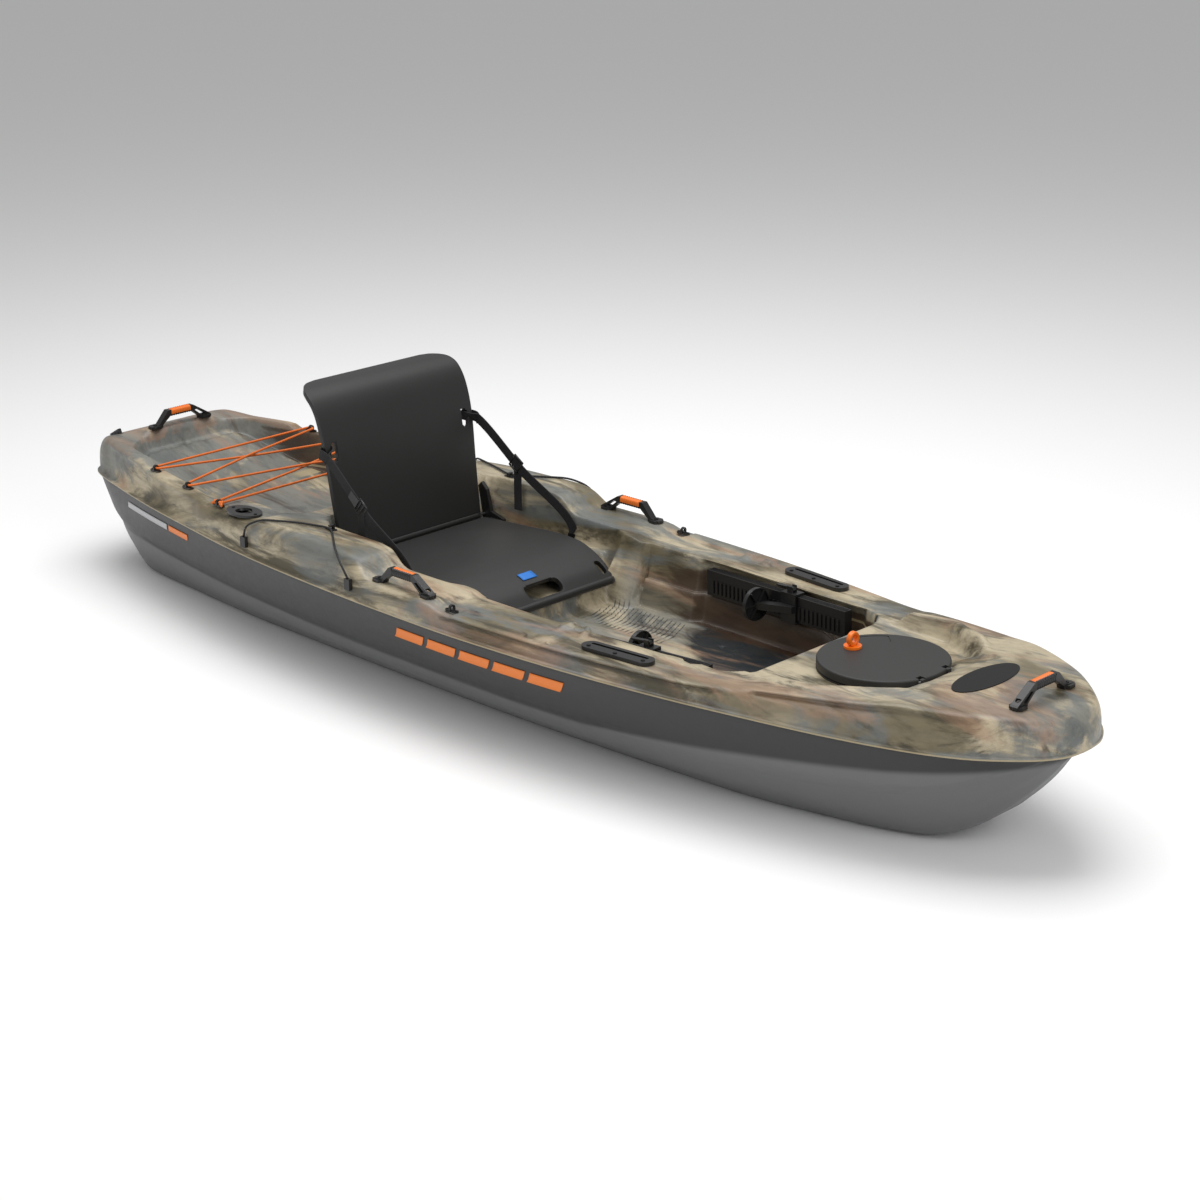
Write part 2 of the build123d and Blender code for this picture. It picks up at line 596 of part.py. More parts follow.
# ---------------------------------------------------------------- rod holders
BORE_R, TUBE_L, FLANGE_T = 20, 106, 6
for side, s in SIDES.items():
    flat = Plane(origin=(ROD_X, s * ROD_Y, ROD_TOP))
    with BuildPart() as rod_holder:
        with BuildSketch(flat):
            Ellipse(54, 34)
        extrude(amount=FLANGE_T)
        with BuildSketch(rod_plane(s).offset(-TUBE_L)):
            Circle(TUBE_R)
        extrude(amount=TUBE_L)
        with BuildSketch(rod_plane(s).offset(-TUBE_L + 4)):
            Circle(BORE_R)
        extrude(amount=TUBE_L + 40, mode=Mode.SUBTRACT)
        with BuildSketch(flat):
            with Locations((-42, 0), (42, 0)):
                Circle(2.2)
        extrude(amount=FLANGE_T, mode=Mode.SUBTRACT)
    save(rod_holder.part, f"rod_holder_{side}")

with BuildPart() as rod_holder_screws:
    for s in SIDES.values():
        flat = Plane(origin=(ROD_X, s * ROD_Y, ROD_TOP))
        with BuildSketch(flat):
            with Locations((-42, 0), (42, 0)):
                Circle(2)
        extrude(amount=FLANGE_T)
        with BuildSketch(flat.offset(FLANGE_T)):
            with Locations((-42, 0), (42, 0)):
                Circle(4)
        extrude(amount=1.5)
save(rod_holder_screws.part, "rod_holder_screws")

# ---------------------------------------------------------------- pad eyes
EYE_X, EYE_Y, EYE_Z, EYE_HOLE = (-1123, -944, -773), (253, 288, 325), 331, 4.5
SIDE_EYE_X, SIDE_EYE_Y, SIDE_EYE_Z = 108, 373, 289


def pad_eye(x, y, z):
    """Deck pad eye: a small base with an upright loop whose hole runs fore and aft."""
    with BuildPart() as eye:
        with BuildSketch(Plane.XY.offset(z)):
            with Locations((x, y)):
                SlotOverall(38, 14)
        extrude(amount=3)
        with BuildSketch(Plane.YZ.offset(x - 3)):
            with Locations((y, z + 8)):
                Circle(8)
            with Locations((y, z + 4)):
                Rectangle(16, 6)
            with Locations((y, z + 8)):
                Circle(EYE_HOLE, mode=Mode.SUBTRACT)
        extrude(amount=6)
    return eye.part


TANK_EYES = [(x, s * y) for x, y in zip(EYE_X, EYE_Y) for s in SIDES.values()]
SIDE_EYES = [(SIDE_EYE_X, s * SIDE_EYE_Y) for s in SIDES.values()]
save(Compound([pad_eye(x, y, EYE_Z) for x, y in TANK_EYES]), "tank_pad_eyes")
save(Compound([pad_eye(x, y, SIDE_EYE_Z) for x, y in SIDE_EYES]), "side_eyelets")

with BuildPart() as pad_eye_screws:
    for points, z in ((TANK_EYES, EYE_Z + 3), (SIDE_EYES, SIDE_EYE_Z + 3)):
        for x, y in points:
            with Locations((x - 14, y, z), (x + 14, y, z)):
                Cylinder(3, 1.4, align=(Align.CENTER, Align.CENTER, Align.MIN))
save(pad_eye_screws.part, "pad_eye_screws")

# ---------------------------------------------------------------- bungees
CORD_R, CORD_Z = 3, EYE_Z + 8
PASS = 9                # the cord runs straight this far each side of an eye before it turns
EYE_TURN, CROSSING = 6, 4
(x0, y0), (x1, y1), (x2, y2) = zip(EYE_X, EYE_Y)


def through(x, y, forward):
    """Two route points that lead the cord through an eye: aft to fore, or fore to aft."""
    step = PASS if forward else -PASS
    return [(x - step, y, CORD_Z), (x + step, y, CORD_Z)]


def halfway(a, b, lift):
    """Middle of a strand, lifted where it crosses over another or dropped where it runs under."""
    return ((a[0] + b[0]) / 2, (a[1] + b[1]) / 2, CORD_Z + lift)


def corner_radii(points, sharp=None):
    """Arc radius at each inner point: the eye's own at a sharp turn, else as large as the runs allow."""
    radii = []
    for before, here, after in zip(points, points[1:], points[2:]):
        run_in, run_out = Vector(*here) - Vector(*before), Vector(*after) - Vector(*here)
        turn = run_in.get_angle(run_out)
        radius = 0.45 * min(run_in.length, run_out.length) / math.tan(math.radians(turn) / 2)
        radii.append(sharp if sharp and turn > 45 else radius)
    return radii


# One lacing: it starts and ends, knotted, at the foremost starboard eye.
LACING = [(x2 + PASS, -y2, CORD_Z), *through(x2, y2, False), halfway((x2, y2), (x1, -y1), CROSSING),
          *through(x1, -y1, False), halfway((x1, -y1), (x0, y0), CROSSING), *through(x0, y0, False),
          *through(x0, -y0, True), halfway((x0, -y0), (x1, y1), -CROSSING), *through(x1, y1, True),
          halfway((x1, y1), (x2, -y2), -CROSSING), (x2 - PASS, -y2 + 3, CORD_Z)]
with BuildPart() as tank_bungee:
    with BuildLine() as lacing:
        FilletPolyline(*LACING, radius=corner_radii(LACING, EYE_TURN))
    cord = lacing.wires()[0]
    with BuildSketch(Plane(origin=cord @ 0, z_dir=cord % 0)):
        Circle(CORD_R)
    sweep()
print(f"tank bungee {cord.length:.0f} mm, volume ratio "
      f"{tank_bungee.part.volume / (math.pi * CORD_R ** 2 * cord.length):.3f}")
save(tank_bungee.part, "tank_bungee")

HOOK = (-396, 288, 342)
SIDE_R = 2.5
# Route of a side bungee, port side: aft tab, over the shoulder, middle hook, over the shoulder, fore tab.
SIDE_ROUTE = [(-619, 373, 298), (-612, 371, 326), (-582, 350, 338), (-490, 318, 345), (-396, 288, 348),
              (-340, 330, 346.5), (-276, 382, 343), (-230, 401, 326), (-204, 404, 298)]
for side, s in SIDES.items():
    with BuildPart() as side_bungee:
        with BuildLine() as route:
            points = [(x, s * y, z) for x, y, z in SIDE_ROUTE]
            radii = corner_radii(points)
            FilletPolyline(*points, radius=radii)
        wire = route.wires()[0]
        with BuildSketch(Plane(origin=wire @ 0, z_dir=wire % 0)):
            Circle(SIDE_R)
        sweep()
    print(f"side bungee {wire.length:.0f} mm, radii", [round(r) for r in radii],
          f"volume ratio {side_bungee.part.volume / (math.pi * SIDE_R ** 2 * wire.length):.3f}")
    save(side_bungee.part, f"side_bungee_{side}")

with BuildPart() as bungee_hooks:
    for s in SIDES.values():
        x, y, z = HOOK
        with BuildSketch(Plane.XY.offset(z)):
            with Locations((x, s * y)):
                SlotOverall(36, 16)
        extrude(amount=4)
        with BuildSketch(Plane.YZ.offset(x - 4)):
            with BuildLine():
                Polyline((s * (y - 8), z + 4), (s * (y - 8), z + 14), (s * (y + 6), z + 14), (s * (y + 6), z + 10.6),
                         (s * (y - 4), z + 10.6), (s * (y - 4), z + 4), close=True)
            make_face()
        extrude(amount=8)
save(bungee_hooks.part, "bungee_hooks")

with BuildPart() as bungee_tabs:
    for s in SIDES.values():
        for x, y, z in (SIDE_ROUTE[0], SIDE_ROUTE[-1]):
            with Locations((x, s * y, z)):
                Box(18, 9, 26, align=(Align.CENTER, Align.CENTER, Align.MAX))
save(bungee_tabs.part, "bungee_tabs")

# ---------------------------------------------------------------- blank oval plaque
PLAQUE = Plane(origin=(1257, 0, 333.2), x_dir=(148, 0, -3), z_dir=(3, 0, 148))
PLAQUE_R, PLAQUE_T = (38, 101), 2.4
with BuildPart() as plaque:
    with BuildSketch(PLAQUE):
        Ellipse(*PLAQUE_R)
    extrude(amount=PLAQUE_T)
save(plaque.part, "plaque")

# ---------------------------------------------------------------- seat
HINGE = (-440, 252)
BACK_HALF, BASE_HALF, PANEL = 235, 225, 12
BACK_LINE = [(-441, 257), (-450, 320), (-461, 400), (-474, 499), (-485, 545), (-500, 588), (-524, 620), (-552, 635),
             (-584, 640)]
BASE_LINE = [(-424, 243), (-300, 251), (-150, 259), (-95, 256), (-48, 246), (0, 226), (34, 198)]
BARREL_R, HINGE_PIN = 9, 4
GRAB_X, CORNER_HOLE = 6, (0, 198)
STRAP_HOLE = (208, 496)

with BuildPart() as seat_base:
    with BuildSketch(Plane.XZ.offset(-BASE_HALF)):
        with BuildLine():
            Polyline(*thick_line(BASE_LINE, PANEL), close=True)
        make_face()
        with Locations(BASE_LINE[-1]):
            Circle(10)
    extrude(amount=2 * BASE_HALF)
    with BuildSketch(Plane.XY.offset(SEAT_FLOOR)):
        with Locations((GRAB_X, 0)):
            RectangleRounded(42, 110, 16)
        with Locations(*[(CORNER_HOLE[0], s * CORNER_HOLE[1]) for s in SIDES.values()]):
            RectangleRounded(40, 18, 8)
    extrude(amount=CLEAR, mode=Mode.SUBTRACT)
    for y in (-150, 150):
        with BuildSketch(Plane.XZ.offset(-y - 12)):
            with BuildLine():
                Polyline((-410, SEAT_FLOOR), (-410, 242), (-300, 249), (-150, 257), (-95, 254), (-48, 244), (-4, 226),
                         (-4, SEAT_FLOOR), close=True)
            make_face()
        extrude(amount=24)
save(seat_base.part, "seat_base")

with BuildPart() as seat_back:
    with BuildSketch(Plane.XZ.offset(-BACK_HALF)):
        with BuildLine():
            Polyline(*thick_line(BACK_LINE, PANEL), close=True)
        make_face()
        with Locations(HINGE):
            Circle(BARREL_R)
    extrude(amount=2 * BACK_HALF)
    with BuildSketch(Plane.YZ.offset(-700)):
        with BuildLine():
            Polyline((-BACK_HALF, 215), (BACK_HALF, 215), (BACK_HALF, 700), (-BACK_HALF, 700), close=True)
        make_face()
        with BuildLine():
            Polyline((-225, 215), (-225, 330), (-235, 590), (-225, 622), (-195, 648), (195, 648), (225, 622),
                     (235, 590), (225, 330), (225, 215), close=True)
        make_face(mode=Mode.SUBTRACT)
    extrude(amount=400, mode=Mode.SUBTRACT)
    with BuildSketch(Plane.YZ.offset(-560)):
        for s in SIDES.values():
            with Locations((s * STRAP_HOLE[0], STRAP_HOLE[1])):
                RectangleRounded(20, 46, 9)
    extrude(amount=200, mode=Mode.SUBTRACT)
save(seat_back.part, "seat_back")

with BuildPart() as seat_hinge_pins:
    for s in SIDES.values():
        with BuildSketch(Plane.XZ.offset(-s * 225)):
            with Locations(HINGE):
                Circle(HINGE_PIN)
        extrude(amount=-s * 23)
save(seat_hinge_pins.part, "seat_hinge_pins")

with BuildPart() as seat_hinge_brackets:
    for s in SIDES.values():
        with BuildSketch(Plane.XZ.offset(-s * 238)):
            with BuildLine():
                Polyline((-458, 238), (-466, 272), (-462, 318), (-448, 332), (-430, 316), (-416, 262),
                         (-372, 250), (-372, 238), (-450, 230), close=True)
            make_face()
            with Locations(HINGE):
                Circle(HINGE_PIN + PIN_RUN, mode=Mode.SUBTRACT)
        extrude(amount=-s * 10)
        with BuildSketch(Plane.XZ.offset(-s * 225)):
            with Locations((-394, 243)):
                Rectangle(40, 10)
        extrude(amount=-s * 13)
save(seat_hinge_brackets.part, "seat_hinge_brackets")

with BuildPart() as seat_tag:
    with BuildSketch(Plane(origin=(-28.3, -12, 244.27), x_dir=(4922, 0, -2054), z_dir=(2054, 0, 4922))):
        Rectangle(22, 44)
    extrude(amount=1)
save(seat_tag.part, "seat_tag")

# ---------------------------------------------------------------- seat straps
WEB_W, WEB_T, BUCKLE_W, BUCKLE_T, TAIL_L = 25, 2.2, 34, 9, 110
ANCHOR, BACK_END, BUCKLE_AT = (-150, 262, 262), (-458, 240, 494), 0.55
for side, s in SIDES.items():
    low = Vector(ANCHOR[0], s * ANCHOR[1], ANCHOR[2])
    high = Vector(BACK_END[0], s * BACK_END[1], BACK_END[2])
    pull = high - low
    outward = Vector(0, s, 0)
    with BuildPart() as strap:
        with BuildSketch(Plane(origin=low, x_dir=pull.cross(outward), z_dir=pull)):
            Rectangle(WEB_W, WEB_T)
        extrude(amount=pull.length)
    print(f"strap {pull.length:.0f} mm")
    save(strap.part, f"strap_{side}")

with BuildPart() as strap_buckles:
    for s in SIDES.values():
        low = Vector(ANCHOR[0], s * ANCHOR[1], ANCHOR[2])
        high = Vector(BACK_END[0], s * BACK_END[1], BACK_END[2])
        pull = high - low
        with BuildSketch(Plane(origin=low + pull * BUCKLE_AT, x_dir=pull.cross(Vector(0, s, 0)), z_dir=pull)):
            Rectangle(BUCKLE_W, BUCKLE_T)
            Rectangle(WEB_W, WEB_T, mode=Mode.SUBTRACT)
        extrude(amount=BUCKLE_W)
save(strap_buckles.part, "strap_buckles")

with BuildPart() as strap_tails:
    for s in SIDES.values():
        with Locations((-326, s * 258, 398)):
            Box(WEB_W, WEB_T, TAIL_L, align=(Align.CENTER, Align.CENTER, Align.MAX))
save(strap_tails.part, "strap_tails")

with BuildPart() as strap_anchors:
    for s in SIDES.values():
        with BuildSketch(Plane.XZ.offset(-s * 272)):
            with Locations((-150, 246)):
                Rectangle(34, 26)
        extrude(amount=s * 4)
        with BuildSketch(Plane.XZ.offset(-s * 268)):
            with Locations((-150, 252)):
                Rectangle(30, 12)
        extrude(amount=s * 10)
save(strap_anchors.part, "strap_anchors")

# ---------------------------------------------------------------- drain plug
DRAIN_BORE_R, DRAIN_SEAT_R, DRAIN_SEAT_T = 9, 20, 3
with BuildPart() as drain_seat:
    with BuildSketch(DRAIN):
        Circle(DRAIN_SEAT_R)
    extrude(amount=DRAIN_SEAT_T)
    with BuildSketch(DRAIN.offset(-14)):
        Circle(11)
    extrude(amount=15)
    with BuildSketch(DRAIN.offset(-20)):
        Circle(DRAIN_BORE_R)
    extrude(amount=40, mode=Mode.SUBTRACT)
save(drain_seat.part, "drain_seat")

with BuildPart() as drain_plug:
    with BuildSketch(DRAIN.offset(DRAIN_SEAT_T + RUN)):
        Circle(15)
    extrude(amount=7)
    with BuildSketch(DRAIN.offset(-8)):
        Circle(DRAIN_BORE_R - PIN_RUN)
    extrude(amount=12)
    with BuildSketch(DRAIN.offset(DRAIN_SEAT_T + RUN)):
        Rectangle(44, 9)
    extrude(amount=12)
save(drain_plug.part, "drain_plug")
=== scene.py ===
import bmesh
import bpy
import math
import numpy as np
from mathutils import Matrix, Vector


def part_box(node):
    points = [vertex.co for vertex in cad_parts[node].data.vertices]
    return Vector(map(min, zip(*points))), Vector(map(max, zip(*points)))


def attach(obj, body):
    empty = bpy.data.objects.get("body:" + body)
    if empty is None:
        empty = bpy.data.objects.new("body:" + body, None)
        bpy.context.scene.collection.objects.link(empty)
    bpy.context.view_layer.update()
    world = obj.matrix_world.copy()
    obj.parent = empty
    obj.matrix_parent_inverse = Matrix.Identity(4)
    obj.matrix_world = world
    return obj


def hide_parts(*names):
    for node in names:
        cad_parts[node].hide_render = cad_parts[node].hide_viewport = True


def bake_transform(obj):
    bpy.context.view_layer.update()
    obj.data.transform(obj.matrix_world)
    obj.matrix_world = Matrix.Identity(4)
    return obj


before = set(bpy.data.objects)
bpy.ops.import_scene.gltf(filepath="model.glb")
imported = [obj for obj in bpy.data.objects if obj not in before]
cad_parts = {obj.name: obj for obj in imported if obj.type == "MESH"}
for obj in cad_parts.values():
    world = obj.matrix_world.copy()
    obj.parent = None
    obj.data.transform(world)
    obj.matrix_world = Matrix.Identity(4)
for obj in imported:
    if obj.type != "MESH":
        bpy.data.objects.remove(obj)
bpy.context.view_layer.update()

# ---------------------------------------------------------------- camera, floor and light
# A 76 mm lens looks down on the starboard bow quarter. The boat stands on a pale studio floor.
AZIMUTH, ELEVATION, ROLL = math.radians(44.3885), math.radians(19.597), -0.00806
LOOK_AT, DISTANCE = Vector((0.1176, 0.0782, 0.2)), 5.8344
back = Vector((math.sin(AZIMUTH) * math.cos(ELEVATION), -math.cos(AZIMUTH) * math.cos(ELEVATION),
               math.sin(ELEVATION)))
right = Vector((0, 0, 1)).cross(back).normalized()
above = back.cross(right)
level_right = math.cos(ROLL) * right + math.sin(ROLL) * above
level_above = math.cos(ROLL) * above - math.sin(ROLL) * right
camera = bpy.data.objects.new("camera", bpy.data.cameras.new("camera"))
camera.data.lens, camera.data.sensor_width = 75.87, 36
camera.data.clip_start, camera.data.clip_end = 0.05, 200
camera.matrix_world = Matrix.Translation(LOOK_AT + back * DISTANCE) @ Matrix(
    (level_right, level_above, back)).transposed().to_4x4()
bpy.context.scene.collection.objects.link(camera)
bpy.context.scene.camera = camera
bpy.context.scene.view_settings.view_transform = "Standard"


def softbox(name, place, aim, size, power):
    """A square area light at place, turned to face aim."""
    light = bpy.data.objects.new(name, bpy.data.lights.new(name, "AREA"))
    light.data.size, light.data.energy = size, power
    light.location = place
    light.rotation_euler = (Vector(aim) - Vector(place)).to_track_quat("-Z", "Y").to_euler()
    bpy.context.scene.collection.objects.link(light)


softbox("overhead_softbox", (-0.3, 0.3, 4.2), (0, 0, 0.2), 4.0, 170)
softbox("bow_softbox", (4.5, -1.0, 2.6), (0.3, 0, 0.2), 2.4, 55)
softbox("starboard_softbox", (-0.6, -5.0, 2.2), (0, 0, 0.2), 2.8, 26)
world = bpy.data.worlds.new("studio")
bpy.context.scene.world = world
world.use_nodes = True
world.node_tree.nodes["Background"].inputs["Color"].default_value = (1, 1, 1, 1)
world.node_tree.nodes["Background"].inputs["Strength"].default_value = 0.42


class Wire:
    """A shader value. Arithmetic on it adds Math nodes to its finish."""

    def __init__(self, finish, socket):
        self.finish, self.socket = finish, socket

    def _with(self, operation, *values):
        """Adds one Math node of the given operation on these values."""
        return self.finish.node("ShaderNodeMath", dict(operation=operation), values)

    def __add__(self, other):
        return self._with("ADD", self, other)

    def __sub__(self, other):
        return self._with("SUBTRACT", self, other)

    def __rsub__(self, other):
        return self._with("SUBTRACT", other, self)

    def __mul__(self, other):
        return self._with("MULTIPLY", self, other)

    def __truediv__(self, other):
        return self._with("DIVIDE", self, other)

    def __mod__(self, other):
        return self._with("MODULO", self, other)

    __radd__, __rmul__ = __add__, __mul__

    def most(self, other):
        """The greater of this value and another."""
        return self._with("MAXIMUM", self, other)

    def size(self):
        """This value without its sign."""
        return self._with("ABSOLUTE", self)


class Finish:
    """A material: a Principled shader and the pattern nodes that feed it."""

    def __init__(self, name, colour, roughness, **constants):
        self.material = bpy.data.materials.new(name)
        self.material.use_nodes = True
        self.tree = self.material.node_tree
        self.shader = self.tree.nodes["Principled BSDF"]
        self.shader.inputs["Base Color"].default_value = (*colour, 1)
        self.shader.inputs["Roughness"].default_value = roughness
        for socket, value in constants.items():
            self.shader.inputs[socket.replace("_", " ")].default_value = value

    def node(self, kind, settings, inputs, output=0):
        """Adds one node: settings first, then its sockets by index, or by name from a dict."""
        made = self.tree.nodes.new(kind)
        for key, value in settings.items():
            setattr(made, key, value)
        for key, value in inputs.items() if isinstance(inputs, dict) else enumerate(inputs):
            if isinstance(value, Wire):
                self.tree.links.new(value.socket, made.inputs[key])
            else:
                made.inputs[key].default_value = value
        return Wire(self, made.outputs[output])

    def place(self, stretch=(1, 1, 1), shift=(0, 0, 0)):
        """Position in the boat's own frame, in metres, stretched and shifted."""
        here = self.node("ShaderNodeTexCoord", {}, {}, "Object")
        return self.node("ShaderNodeMapping", {}, {"Vector": here, "Scale": stretch, "Location": shift})

    def axis(self, letter):
        """One coordinate of the position in the boat's frame."""
        return self.node("ShaderNodeSeparateXYZ", {}, [self.place()], letter)

    def noise(self, scale, where, detail=4.0, rough=0.5, warp=0.0):
        """Cloud pattern of about 1 / scale metres."""
        return self.node("ShaderNodeTexNoise", {}, {"Vector": where, "Scale": scale, "Detail": detail,
                                                    "Roughness": rough, "Distortion": warp})

    def between(self, value, low, high):
        """0 below low, 1 above high, smooth in between."""
        return self.node("ShaderNodeMapRange", dict(interpolation_type="SMOOTHSTEP"),
                         {"Value": value, "From Min": low, "From Max": high})

    def mix(self, share, first, second):
        """Colour mix by share, from first to second."""
        colours = [c if isinstance(c, Wire) else (*c, 1) for c in (first, second)]
        return self.node("ShaderNodeMix", dict(data_type="RGBA"), {0: share, 6: colours[0], 7: colours[1]}, 2)

    def feed(self, socket, wire):
        """Links a value to one socket of the shader."""
        self.tree.links.new(wire.socket, self.shader.inputs[socket])

    def relief(self, height, distance, strength=1.0):
        """Surface relief from a height pattern, through a Bump node."""
        self.feed("Normal", self.node("ShaderNodeBump", {}, {"Height": height, "Distance": distance,
                                                            "Strength": strength}))


floor_finish = Finish("studio_floor", (0.93, 0.93, 0.93), 0.9, Specular_IOR_Level=0.1)
bpy.ops.mesh.primitive_plane_add(size=60, location=(0, 0, -0.0005))
studio_floor = bpy.context.object
studio_floor.name = "studio_floor"
studio_floor.data.materials.append(floor_finish.material)

# ---------------------------------------------------------------- hull
# Lower sheet, thermoformed in satin dark grey: flat bottom, a chine with a spray step, plain sides up to
# the seam. Drawn as one surface along the boat, then given the sheet's thickness inwards.
MM = 0.001
SEAM_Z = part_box("hull_shell")[1][2]
SHEET = 4 * MM
HALF_BREADTH = [(-1500, 118), (-1496, 146), (-1486, 172), (-1468, 194), (-1440, 210), (-1300, 250),
                (-1100, 297), (-900, 333), (-700, 366), (-500, 388), (-300, 402), (-100, 411), (100, 414),
                (300, 407), (500, 392), (700, 367), (900, 333), (1080, 296), (1250, 247), (1350, 202),
                (1430, 142), (1462, 110), (1484, 78), (1495, 52), (1500, 0)]
BOTTOM = [(-1486, 90, 150), (-1441, 115, 74), (-1361, 140, 25), (-1290, 155, 3), (-1150, 166, 0),
          (-750, 196, 0), (0, 208, 0), (750, 182, 0), (1050, 130, 0), (1190, 96, 8), (1290, 64, 44),
          (1354, 40, 98), (1421, 18, 168), (1478, 3, 246)]
CHINE = [(-1486, 124, 200), (-1441, 158, 146), (-1361, 190, 120), (-1290, 207, 113), (-1100, 244, 111),
         (-700, 302, 112), (-200, 336, 112), (200, 340, 112), (700, 304, 112), (1000, 254, 118),
         (1190, 206, 132), (1290, 166, 152), (1354, 128, 180), (1421, 76, 212), (1478, 8, 249)]


def faired(stations, x, column=1):
    """Smooth curve through a station table that never overshoots it: cubic pieces with limited slopes."""
    table = np.array(stations, float)
    at, value = table[:, 0], table[:, column]
    rise = np.diff(value) / np.diff(at)
    product = rise[:-1] * rise[1:]
    inner = np.where(product > 0, 2 * product / np.where(product > 0, rise[:-1] + rise[1:], 1), 0)
    slope = np.concatenate([rise[:1], inner, rise[-1:]])
    i = np.clip(np.searchsorted(at, x) - 1, 0, len(at) - 2)
    gap = at[i + 1] - at[i]
    t = np.clip((x - at[i]) / gap, 0, 1)
    return ((1 + 2 * t) * (1 - t) ** 2 * value[i] + t * (1 - t) ** 2 * gap * slope[i]
            + t * t * (3 - 2 * t) * value[i + 1] + t * t * (t - 1) * gap * slope[i + 1])


def breadth(x):
    """Half-breadth of the deck at the seam. Its square is faired, so that the nose closes roundly."""
    return np.sqrt(np.maximum(faired([(at, b * b) for at, b in HALF_BREADTH], x), 0))


def surface(name, points, keep=None, closed=False):
    """Mesh of a grid of points, rows by columns; keep masks its cells and closed joins the last column on."""
    rows, columns = points.shape[:2]
    index = np.arange(rows * columns).reshape(rows, columns)
    if closed:
        index = np.concatenate([index, index[:, :1]], 1)
    quads = np.stack([index[:-1, :-1], index[1:, :-1], index[1:, 1:], index[:-1, 1:]], -1)
    quads = quads.reshape(-1, 4) if keep is None else quads[keep]
    mesh = bpy.data.meshes.new(name)
    mesh.from_pydata((points.reshape(-1, 3) * MM).tolist(), [], quads.tolist())
    piece = bpy.data.objects.new(name, mesh)
    bpy.context.scene.collection.objects.link(piece)
    return piece


def cleaned(piece, smooth=True):
    """Merges doubled points, drops loose ones and turns the faces outwards."""
    work = bmesh.new()
    work.from_mesh(piece.data)
    bmesh.ops.remove_doubles(work, verts=work.verts, dist=0.00002)
    bmesh.ops.dissolve_degenerate(work, edges=work.edges, dist=0.00002)
    bmesh.ops.delete(work, geom=[v for v in work.verts if not v.link_faces], context="VERTS")
    bmesh.ops.recalc_face_normals(work, faces=work.faces)
    work.to_mesh(piece.data)
    work.free()
    piece.data.polygons.foreach_set("use_smooth", np.full(len(piece.data.polygons), smooth))
    return piece


def thickened(piece, thickness, offset=-1.0):
    """Gives a surface the wall of its sheet."""
    wall = piece.modifiers.new("wall", "SOLIDIFY")
    wall.thickness, wall.offset = thickness, offset
    return piece


def faces_up(piece):
    """Whether an open surface looks up on the whole, by its faces' upward normals times their areas."""
    normals = np.zeros(len(piece.data.polygons) * 3)
    piece.data.polygons.foreach_get("normal", normals)
    area = np.zeros(len(piece.data.polygons))
    piece.data.polygons.foreach_get("area", area)
    return (normals.reshape(-1, 3)[:, 2] * area).sum() > 0


def facing(piece, up):
    """Flips an open surface that faces the wrong way."""
    if faces_up(piece) != up:
        piece.data.flip_normals()
    return piece


hull_x = np.concatenate([np.linspace(-1486, -1300, 22), np.linspace(-1290, 1150, 70),
                         np.linspace(1170, 1478, 40)])
seam_y = np.minimum(breadth(hull_x) - 10, 1.25 * np.sqrt(np.maximum(1484 - hull_x, 0)) * 12)
bottom_y, bottom_z = faired(BOTTOM, hull_x), np.maximum(faired(BOTTOM, hull_x, 2), 0)
chine_y, chine_z = faired(CHINE, hull_x), faired(CHINE, hull_x, 2)
seam = SEAM_Z / MM
chine_y, bottom_y = np.minimum(chine_y, seam_y * 0.98), np.minimum(bottom_y, seam_y * 0.9)
full = np.clip((seam - chine_z) / 100, 0, 1)
PROFILE = [(seam_y, np.full_like(seam_y, seam)), (seam_y, seam - 10 * full),
           (seam_y * 0.62 + chine_y * 0.38 + 7 * full, seam * 0.62 + chine_z * 0.38),
           (seam_y * 0.2 + chine_y * 0.8 + 9 * full, seam * 0.2 + chine_z * 0.8),
           (chine_y + 5 * full, chine_z + 6 * full), (chine_y - 1 * full, chine_z),
           (chine_y * 0.62 + bottom_y * 0.38 + 4 * full, chine_z * 0.56 + bottom_z * 0.44 - 6 * full),
           (bottom_y + 14 * full, bottom_z + 5 * full), (bottom_y, bottom_z), (bottom_y * 0.5, bottom_z),
           (bottom_y * 0, bottom_z)]


def between_keys(keys, steps):
    """Sheet through key lines: straight between one key line and the next, in the given steps."""
    lines = [np.stack(key, -1) for key in keys]
    parts = [a[None] + (b - a)[None] * np.linspace(0, 1, n, endpoint=False)[:, None, None]
             for a, b, n in zip(lines, lines[1:], steps)]
    return np.concatenate(parts + [lines[-1][None]]).transpose(1, 0, 2)


port_half = between_keys(PROFILE, [2, 4, 4, 4, 2, 4, 4, 3, 3, 3])
both = np.concatenate([port_half, port_half[:, -2::-1] * (-1, 1)], 1)
hull_points = np.concatenate([np.broadcast_to(hull_x[:, None, None], both.shape[:2] + (1,)), both], 2)
tail, nose = hull_points[:1].copy(), hull_points[-1:].copy()
tail[..., 1], nose[..., 1] = 0, 0
hull_points = np.concatenate([tail, hull_points, nose])
hull = facing(cleaned(surface("hull_sheet", hull_points)), False)
smoother = hull.modifiers.new("fair", "SUBSURF")
smoother.levels = smoother.render_levels = 1
thickened(hull, SHEET)
hull_finish = Finish("hull_satin_grey", (0.03, 0.03, 0.032), 0.42)
